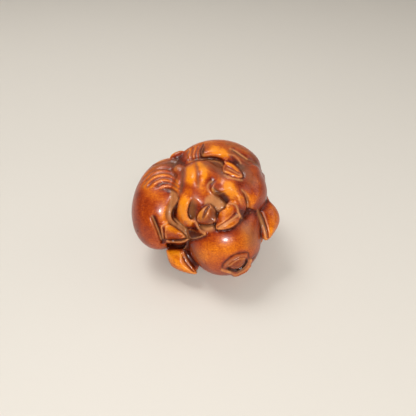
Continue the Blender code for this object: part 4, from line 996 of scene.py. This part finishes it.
# Limbs and masses that handling has rubbed to bright orange.
RUBBED_LINES = [(row, 0.7, 0.45) for row in HAUNCH_RIDGES] + [
    ([(146, 178), (156, 173), (166, 172), (174, 176)], 2.6, 0.3),
    ([(227, 163.3), (232, 165.3), (237.5, 170.3)], 0.6, 0.6),
    ([(226, 171.5), (232, 174.3), (238.5, 177)], 0.3, 0.5),
    ([(190, 150), (189, 155), (189.7, 160)], 0.6, 0.35),
    ([(196.3, 147), (194.3, 151.5), (193.6, 156), (194.6, 160)], 0.4, 0.35),
    ([(201.5, 145.5), (198.7, 149.5), (197.9, 154), (198.4, 159)], 0.25, 0.5),
    ([(150, 192), (158, 196), (164, 200)], 1.8, 0.35),
    ([(142, 186), (152, 190), (160, 193)], 1.6, 0.3),
    ([(190, 163), (190.5, 170), (190.5, 178)], 1.8, 0.55),
    ([(201, 186), (206, 190), (210, 193)], 1.6, 0.5),
    ([(199, 163), (203, 169), (204.5, 176), (202, 184)], 1.1, 0.55),
    (FORELEG, 1.3, 0.45),
    ([(214, 148.5), (219, 150.5), (225, 156)], 1.8, 0.5),
    ([(221, 180), (227, 185), (230.5, 192), (232, 200)], 1.4, 0.7),
    ([(188, 149), (190, 155), (188, 162)], 1.2, 0.4),
    ([(202, 252), (214, 254), (228, 250), (243, 240), (246, 228)], 3.2, 0.3),
    ([(171, 255), (177, 262), (186, 269)], 1.8, 0.2),
    ([(270, 208), (272, 218), (271, 230)], 1.8, 0.2),
    ([(248, 196), (250, 201), (249, 205)], 1.3, 0.45),
    ([(173, 252.5), (178, 253), (181, 255)], 0.9, 0.6),
    ([(166, 208), (163, 213), (164, 219), (168, 223)], 0.9, 0.4),
    ([(221, 214), (226, 210), (231, 209)], 1.3, 0.4),
    ([(200, 214), (202, 218)], 0.9, 0.4),
    ([(168, 227), (174, 229), (180, 232)], 1.0, 0.35),
]
# Darker places, most of them painted shade.
DARK_PLACES = [
    # Painted shade on the shank's lower flank, which turns away from the light, and on the fore hoof, which
    # faces down.
    ([(211, 187.5), (214.5, 187), (219, 190), (225, 193), (228.5, 198), (229, 202.5), (226, 205),
      (224, 201.3), (217, 196), (212.5, 192.5)], 1.2),
    ([(188, 229.5), (193, 229.5), (198, 231.5), (203, 233.5), (207, 235), (203, 237), (196, 239.5),
      (190, 239.5), (188, 235)], 1.0),
    # Painted shade in the eye's pit and along the lower left edge of the head.
    ([(226, 268.5), (229, 268), (233, 269), (238, 268.2), (242.5, 265), (245.5, 260.5), (246.8, 258.5),
      (248, 261.5), (245, 267.5), (240, 271), (234, 272.3), (229, 271.5)], 0.5),
    ([(188, 243), (194, 246), (199, 252), (203, 262), (209, 271), (215, 276), (205, 275), (196, 266),
      (190, 256)], 4.0, 0.55),
    # Darker along the lower left edge of the haunch.
    ([(134, 226), (138, 234), (145, 243), (152, 250), (146, 250), (138, 242), (132, 230)], 3.0, 0.7),
    # Painted shade in the cave, on the lower part of the eyeball, in the valley left of the foreleg, at the
    # thigh's left end and in the hollow beside the top hoof.
    (CAVE, 0.5),
    ([(227, 266), (230, 264), (234, 265), (239, 265), (243, 262.5), (245.5, 260), (244.5, 264),
      (240, 268), (234, 269)], 1.0, 0.6),
    ([(173, 205), (177, 201), (178, 206), (176.5, 213), (178, 219), (173.5, 217.5), (171.5, 211)], 0.9, 0.55),
    ([(200, 150), (204, 145), (205, 150), (204, 155), (203, 159), (200.5, 157)], 0.9),
    ([(231, 156), (237, 159.5), (242, 165), (245.5, 173), (244, 178), (242.5, 172), (238.5, 166.5),
      (233, 161)], 0.9, 0.5),
    # Three hooves and the eyeball made darker.
    (HOOF_FRONT, 0.8, 0.12),
    (HOOF_MIDDLE, 0.8, 0.42),
    (HOOF_LEFT, 0.8, 0.12),
    (EYE_BALL, 0.6, 0.42),
]
# Painted shade in the cut round a form: the lid crease and the lower edges of three hooves.
DARK_LINES = [
    (LID_CREASE, 0.26, 0.9),
    (HOOF_FRONT[6:], 0.3, 0.75),
    (HOOF_MIDDLE[4:], 0.28, 0.6),
    (HOOF_LEFT[2:], 0.24, 0.6),
]

# The same for the far side, made up like its forms.
# Painted shade in the far eye's pit.
FAR_DARK = [(FAR_EYE_PIT, 0.5, 0.5)]
FAR_DUSTY = [(LEG_UNDER, 0.5), (LEG_OVER, 0.35), (BACK_VALLEY, 0.5)]
FAR_DUSTY += [(row, 0.24) for row in FAR_FOLDS + RUMP_FOLDS + SNOUT_FOLDS]
FAR_BARE = [(FAR_COLLAR, 0.3, 0.9), (FAR_LID, 0.25, 0.8)]
FAR_RUBBED = [
    ([(166, 229), (180, 236), (195, 242), (205, 246)], 1.8, 0.5),
    ([(238, 194), (247, 193), (257, 195.5)], 0.6, 0.4),
    ([(239, 202), (248, 202), (257, 205)], 0.6, 0.4),
    ([(240, 210), (249, 211), (257, 215)], 0.6, 0.4),
    ([(166, 190), (180, 184), (196, 186), (208, 194)], 3.5, 0.3),
    ([(196, 263), (206, 270), (220, 275)], 2.5, 0.3),
]


# Wear starts to show where the surface faces the eye this much, as a cosine, and is full so much on.
FACING_FROM = 0.08
FACING_OVER = 0.35


def seen(shown):
    """How squarely each point faces the eye: marks stretch where the surface turns away."""
    sights = np.array(EYE) - shown.spots[shown.near]
    sights /= np.linalg.norm(sights, axis=1)[:, None]
    facing = (sights * normals_of(shown.mesh)[shown.near]).sum(1)
    return ease((facing - FACING_FROM) / FACING_OVER)


def along(shown, values, rows):
    """Marks lines with soft edges."""
    square = seen(shown)
    for points, wide, *much in rows:
        line = flow(points, 5)
        chosen = shown.close_to(line, 10.0 * wide + 3.0)
        gap = gap_to(shown.marks[chosen], line)[0] * shown.mark_size[chosen]
        here = shown.near[chosen]
        amount = (much[0] if much else 1.0) * square[chosen] * np.exp(-(gap / wide) ** 2)
        values[here] = np.maximum(values[here], amount)


def inside_of(shown, values, rows):
    """Marks areas with soft edges."""
    square = seen(shown)
    for points, soft, *much in rows:
        outline = ring(points)
        chosen = shown.close_to(outline, 4.0)
        inside = within(shown.marks[chosen], outline) * shown.mark_size[chosen]
        here = shown.near[chosen]
        amount = (much[0] if much else 1.0) * square[chosen] * ease(inside / soft + 0.5)
        values[here] = np.maximum(values[here], amount)


def note(mesh, name, values):
    """Writes a value on every point, for the finish to read."""
    data = mesh.attributes.new(name, "FLOAT", "POINT")
    data.data.foreach_set("value", values.astype(np.float32))


def paint(mesh):
    """Notes on each point, from nothing to one, how bare, dark, rubbed and dusty it is. Dark is mostly
    painted shade; some bare lines are painted highlights and some dusty patches painted sheen.
    """
    bare_and_highlight, dark, rubbed, dust_and_sheen = np.zeros((4, len(mesh.vertices)))
    shown = Shown(mesh)
    inside_of(shown, bare_and_highlight, BARE_FLOORS)
    inside_of(shown, dark, DARK_PLACES)
    along(shown, dark, DARK_LINES)
    along(shown, bare_and_highlight, BARE_AND_HIGHLIGHT_LINES)
    along(shown, rubbed, RUBBED_LINES)
    along(shown, dust_and_sheen, DUST_AND_SHEEN_LINES)
    mesh.transform(HALF_ROUND)
    shown = Shown(mesh)
    inside_of(shown, dark, FAR_DARK)
    along(shown, bare_and_highlight, FAR_BARE)
    along(shown, rubbed, FAR_RUBBED)
    along(shown, dust_and_sheen, FAR_DUSTY)
    mesh.transform(HALF_ROUND)
    for name, values in (("bare_and_highlight", bare_and_highlight), ("dark", dark), ("rubbed", rubbed), ("dust_and_sheen", dust_and_sheen)):
        note(mesh, name, values)


# The carving in the scene: a finer cell than the solid's, thinned to a number of triangles.
FINE_CELL = 0.25
FINE_TRIANGLES = 188000
# How often the skin is averaged, in all, to find what lies below it close by and further off.
WEAR_AND_SHADE_ROUNDS = [("crease", 8), ("hollow", 148), ("basin", 648)]


def spread_out(values, ends, count, rounds):
    """Averages values over neighbouring points, a number of times."""
    a = ends[:, 0]
    b = ends[:, 1]
    friends = np.bincount(a, minlength=count) + np.bincount(b, minlength=count) + 1.0
    for _ in range(rounds):
        fresh = values.copy()
        for k in range(values.shape[1]):
            fresh[:, k] += np.bincount(a, values[b, k], count) + np.bincount(b, values[a, k], count)
        values = fresh / friends[:, None]
    return values


def mark_wear_and_shade(mesh):
    """Notes on every point how far in millimetres it lies below its averaged surroundings."""
    spots = points_of(mesh)
    ways = normals_of(mesh)
    ends = links_of(mesh)
    even = spots
    done = 0
    for name, rounds in WEAR_AND_SHADE_ROUNDS:
        even = spread_out(even, ends, len(spots), rounds - done)
        done = rounds
        note(mesh, name, ((even - spots) * ways).sum(1) * 1000.0)


def colour(code):
    """Linear colour of an sRGB hex code."""
    parts = []
    for i in (0, 2, 4):
        c = int(code[i:i + 2], 16) / 255.0
        parts.append(c / 12.92 if c <= 0.04045 else ((c + 0.055) / 1.055) ** 2.4)
    return (*parts, 1.0)


def add(tree, kind, settings=None, links=None):
    """Adds a node with its settings and its links, each link as socket: (node, output)."""
    node = tree.nodes.new(kind)
    for key, value in (settings or {}).items():
        if isinstance(key, str) and hasattr(node, key):
            setattr(node, key, value)
        else:
            node.inputs[key].default_value = value
    for key, (other, output) in (links or {}).items():
        tree.links.new(other.outputs[output], node.inputs[key])
    return node


def stops(node, rows):
    """Colour stops of a ramp, as place and hex code."""
    ramp = node.color_ramp
    while len(ramp.elements) > 1:
        ramp.elements.remove(ramp.elements[-1])
    ramp.elements[0].position = rows[0][0]
    ramp.elements[0].color = colour(rows[0][1])
    for place, code in rows[1:]:
        ramp.elements.new(place).color = colour(code)


def repeats(size):
    """Repeats in a metre of a pattern with this many millimetres from one to the next."""
    return 1000.0 / size


# Sizes in the wood, in millimetres. Stain takes unevenly in patches with finer clouding.
PATCH = 6.25
CLOUD = 1.667
# Grain runs across the ball in streaks, this far apart and this long.
STREAK = 0.3846
STREAK_LONG = 4.0
# Pores and flecks, drawn coarser than the real ones so that they show.
FLECK = 0.4545
GRAIN_RELIEF = 0.06


def polished_boxwood():
    """Boxwood, stained red brown, waxed and rubbed: high places are bright orange with a soft gloss, and low
    places and creases are darkened as painted shade.
    """
    wood = bpy.data.materials.new("polished_boxwood")
    wood.use_nodes = True
    tree = wood.node_tree
    tree.nodes.clear()
    place = add(tree, "ShaderNodeTexCoord")
    wear_and_shade = {}
    for name in ("crease", "hollow", "basin", "bare_and_highlight", "dark", "dust_and_sheen", "rubbed"):
        wear_and_shade[name] = add(tree, "ShaderNodeAttribute", {"attribute_name": name})

    patches = add(tree, "ShaderNodeTexNoise", {"Scale": repeats(PATCH), "Detail": 3.0, "Roughness": 0.55},
                  {"Vector": (place, "Object")})
    clouding = add(tree, "ShaderNodeTexNoise", {"Scale": repeats(CLOUD), "Detail": 4.0, "Roughness": 0.6},
                   {"Vector": (place, "Object")})
    flecks = add(tree, "ShaderNodeTexNoise", {"Scale": repeats(FLECK), "Detail": 3.0, "Roughness": 0.7},
                 {"Vector": (place, "Object")})
    run = (repeats(STREAK_LONG), repeats(STREAK), repeats(STREAK))
    lie = add(tree, "ShaderNodeMapping", {"Scale": run, "Rotation": (0.3, 0.12, 0.2)},
              {"Vector": (place, "Object")})
    grain = add(tree, "ShaderNodeTexNoise", {"Scale": 1.0, "Detail": 5.0, "Roughness": 0.65},
                {"Vector": (lie, "Vector")})

    # Height above the surroundings, in millimetres, says how much a place is rubbed, and low places are
    # darkened as painted shade.
    broad = add(tree, "ShaderNodeMapRange",
                {"From Min": 0.8, "From Max": -1.6, "To Min": 0.08, "To Max": 0.44},
                {"Value": (wear_and_shade["basin"], "Fac")})
    crest = add(tree, "ShaderNodeMapRange",
                {"From Min": 0.35, "From Max": -0.8, "To Min": -0.2, "To Max": 0.35},
                {"Value": (wear_and_shade["hollow"], "Fac")})
    high = add(tree, "ShaderNodeMath", {"operation": "ADD"}, {0: (broad, "Result"), 1: (crest, "Result")})
    tone = add(tree, "ShaderNodeMath", {"operation": "ADD"}, {0: (high, "Value"), 1: (wear_and_shade["rubbed"], "Fac")})
    # Each pattern moves the tone up and down by half its share, and some end at full dark or bright.
    for pattern, share, stopped in ((patches, 0.7, True), (clouding, 0.4, False), (grain, 0.45, False),
                                    (flecks, 0.7, True)):
        shift = add(tree, "ShaderNodeMath", {"operation": "MULTIPLY_ADD", 1: share, 2: -share / 2},
                    {0: (pattern, "Fac")})
        tone = add(tree, "ShaderNodeMath", {"operation": "ADD", "use_clamp": stopped},
                   {0: (tone, "Value"), 1: (shift, "Value")})
    stain_and_shade = add(tree, "ShaderNodeValToRGB", None, {"Fac": (tone, "Value")})
    stops(stain_and_shade, [(0.0, "461003"), (0.25, "802404"), (0.5, "A63E06"), (0.75, "CC6408"), (1.0, "F08C0C")])

    # Painted shade and darker places, paler bare wood with painted highlights, and grey brown wax with
    # painted sheen lie over the stain, never quite hiding it.
    much = {}
    for name, share in (("dark", 0.85), ("bare_and_highlight", 0.8), ("dust_and_sheen", 0.55)):
        much[name] = add(tree, "ShaderNodeMath", {"operation": "MULTIPLY", 1: share},
                         {0: (wear_and_shade[name], "Fac")})
    shade_and_darkening = add(tree, "ShaderNodeMixRGB", {"Color2": colour("2E0C04")},
               {"Fac": (much["dark"], "Value"), "Color1": (stain_and_shade, "Color")})
    pale = add(tree, "ShaderNodeMixRGB", {"Color1": colour("B06A34"), "Color2": colour("F0A868")},
               {"Fac": (clouding, "Fac")})
    bared_and_highlit = add(tree, "ShaderNodeMixRGB", None,
                {"Fac": (much["bare_and_highlight"], "Value"), "Color1": (shade_and_darkening, "Color"), "Color2": (pale, "Color")})
    waxed_and_sheened = add(tree, "ShaderNodeMixRGB", {"Color2": colour("85573A")},
                {"Fac": (much["dust_and_sheen"], "Value"), "Color1": (bared_and_highlit, "Color")})
    # The tightest creases get painted shade, and arrises are rubbed back to paler wood.
    crease_shade = add(tree, "ShaderNodeMapRange",
                {"From Min": 0.05, "From Max": 0.25, "To Min": 0.0, "To Max": 0.45},
                {"Value": (wear_and_shade["crease"], "Fac")})
    deep = add(tree, "ShaderNodeMixRGB", {"Color2": colour("2A0E06")},
               {"Fac": (crease_shade, "Result"), "Color1": (waxed_and_sheened, "Color")})
    arris = add(tree, "ShaderNodeMapRange",
                {"From Min": -0.05, "From Max": -0.14, "To Min": 0.0, "To Max": 0.45},
                {"Value": (wear_and_shade["crease"], "Fac")})
    edge = add(tree, "ShaderNodeMixRGB", {"Color2": colour("E39A5A")},
               {"Fac": (arris, "Result"), "Color1": (deep, "Color")})

    # Wax over wood: a soft gloss that varies with the clouding, duller where the wood is bare.
    gloss = add(tree, "ShaderNodeMapRange", {"From Min": 0.3, "From Max": 0.7, "To Min": 0.26, "To Max": 0.4},
                {"Value": (clouding, "Fac")})
    rough = add(tree, "ShaderNodeMath", {"operation": "MULTIPLY_ADD", 1: 0.25},
                {0: (wear_and_shade["bare_and_highlight"], "Fac"), 2: (gloss, "Result")})
    bump = add(tree, "ShaderNodeBump", {"Strength": 0.12, "Distance": GRAIN_RELIEF / 1000.0},
               {"Height": (grain, "Fac")})
    face = add(tree, "ShaderNodeBsdfPrincipled",
               {"Metallic": 0.0, "IOR": 1.5, "Specular IOR Level": 0.27, "Coat Weight": 0.25,
                "Coat Roughness": 0.12},
               {"Base Color": (edge, "Color"), "Roughness": (rough, "Value"), "Normal": (bump, "Normal")})
    add(tree, "ShaderNodeOutputMaterial", None, {"Surface": (face, "BSDF")})
    return wood


def painted_board():
    """Board in matt paint: pale, with no highlight of its own."""
    board = bpy.data.materials.new("painted_board")
    board.use_nodes = True
    face = board.node_tree.nodes["Principled BSDF"]
    face.inputs["Base Color"].default_value = colour("D8D2C8")
    face.inputs["Roughness"].default_value = 0.6
    return board


def dress():
    """The carving at its real size, standing on its flat, with wear and painted light and shade noted for its
    finish.
    """
    skin = carving(FINE_CELL)
    paint(skin)
    spots = points_of(skin)
    low = spots.min(0)
    high = spots.max(0)
    centre = Vector(((low[0] + high[0]) / 2, (low[1] + high[1]) / 2, 0.0))
    skin.transform(Matrix.Scale(UNIT, 4) @ Matrix.Translation(-centre))
    spots = points_of(skin)
    spots[:, 2] = np.maximum(spots[:, 2], 0.0)
    move_to(skin, spots)
    mark_wear_and_shade(skin)
    pig = bpy.data.objects.new("pigs_boxwood", skin)
    bpy.context.scene.collection.objects.link(pig)
    thin = pig.modifiers.new("thin", "DECIMATE")
    thin.ratio = min(1.0, FINE_TRIANGLES / (2 * len(skin.polygons)))
    skin.materials.append(polished_boxwood())
    skin.shade_smooth()
    return pig, centre


# The floor, in metres: a flat disc whose rim bends up into a round wall.
FLAT = 0.9
BEND = 0.5
WALL_TOP = 1.6
BEND_STEPS = 12
# Lamps: name, place in metres, width and height in metres, watts.
LAMPS = [
    ("softbox", (0.06, -0.42, 0.37), (0.30, 0.12), 0.8),
    ("glint", (0.02, -0.42, 0.37), (0.08, 0.036), 1.6),
    ("window", (-0.20, 0.16, 0.50), (0.24, 0.24), 1.3),
    ("overhead", (0.0, 0.5, 1.3), (1.8, 1.8), 4.5),
    ("side_fill", (0.50, 0.10, 0.30), (0.30, 0.30), 0.3),
]
LAMPS_AIM = MIDDLE * UNIT


def pale_floor():
    """A plain pale floor that bends up into a wall all round."""
    sweep = [(0.0, 0.0), (FLAT, 0.0)]
    for step in range(1, BEND_STEPS + 1):
        turn = math.radians(90.0 * step / BEND_STEPS)
        sweep.append((FLAT + BEND * math.sin(turn), BEND - BEND * math.cos(turn)))
    sweep.append((FLAT + BEND, WALL_TOP))
    bowl = bmesh.new()
    profile = [bowl.verts.new((out, 0.0, up)) for out, up in sweep]
    edges = [bowl.edges.new(pair) for pair in zip(profile, profile[1:])]
    bmesh.ops.spin(bowl, geom=profile + edges, axis=(0, 0, 1), cent=(0, 0, 0), angle=2 * math.pi, steps=64)
    bmesh.ops.remove_doubles(bowl, verts=bowl.verts, dist=1e-5)
    bmesh.ops.recalc_face_normals(bowl, faces=bowl.faces)
    data = bpy.data.meshes.new("floor")
    bowl.to_mesh(data)
    bowl.free()
    data.shade_smooth()
    data.materials.append(painted_board())
    floor = bpy.data.objects.new("floor", data)
    bpy.context.scene.collection.objects.link(floor)


def lamps():
    """Soft lamps round the carving, and a dim even light from everywhere."""
    for name, place, size, watts in LAMPS:
        light = bpy.data.lights.new(name, "AREA")
        light.shape = "RECTANGLE"
        light.size, light.size_y = size
        light.energy = watts
        lamp = bpy.data.objects.new(name, light)
        lamp.location = place
        lamp.rotation_euler = (LAMPS_AIM - Vector(place)).to_track_quat("-Z", "Y").to_euler()
        bpy.context.scene.collection.objects.link(lamp)
    world = bpy.data.worlds.new("studio")
    world.use_nodes = True
    glow = world.node_tree.nodes["Background"]
    glow.inputs["Color"].default_value = colour("E6DED4")
    glow.inputs["Strength"].default_value = 0.13
    bpy.context.scene.world = world


def camera(centre):
    """The eye that the marks belong to, moved with the carving when it was centred."""
    lens = bpy.data.cameras.new("camera")
    lens.lens = lens.sensor_width * MARKS_PER_SLOPE / PHOTO_WIDTH
    lens.clip_start = 0.01
    eye = bpy.data.objects.new("camera", lens)
    eye.location = (EYE - centre) * UNIT
    eye.rotation_euler = (math.radians(90.0 - LEAN), 0.0, 0.0)
    bpy.context.scene.collection.objects.link(eye)
    bpy.context.scene.camera = eye


pig, centre = dress()
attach(pig, "root")
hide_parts("pig_carving")
pale_floor()
lamps()
camera(centre)
bpy.context.scene.view_settings.view_transform = "Standard"
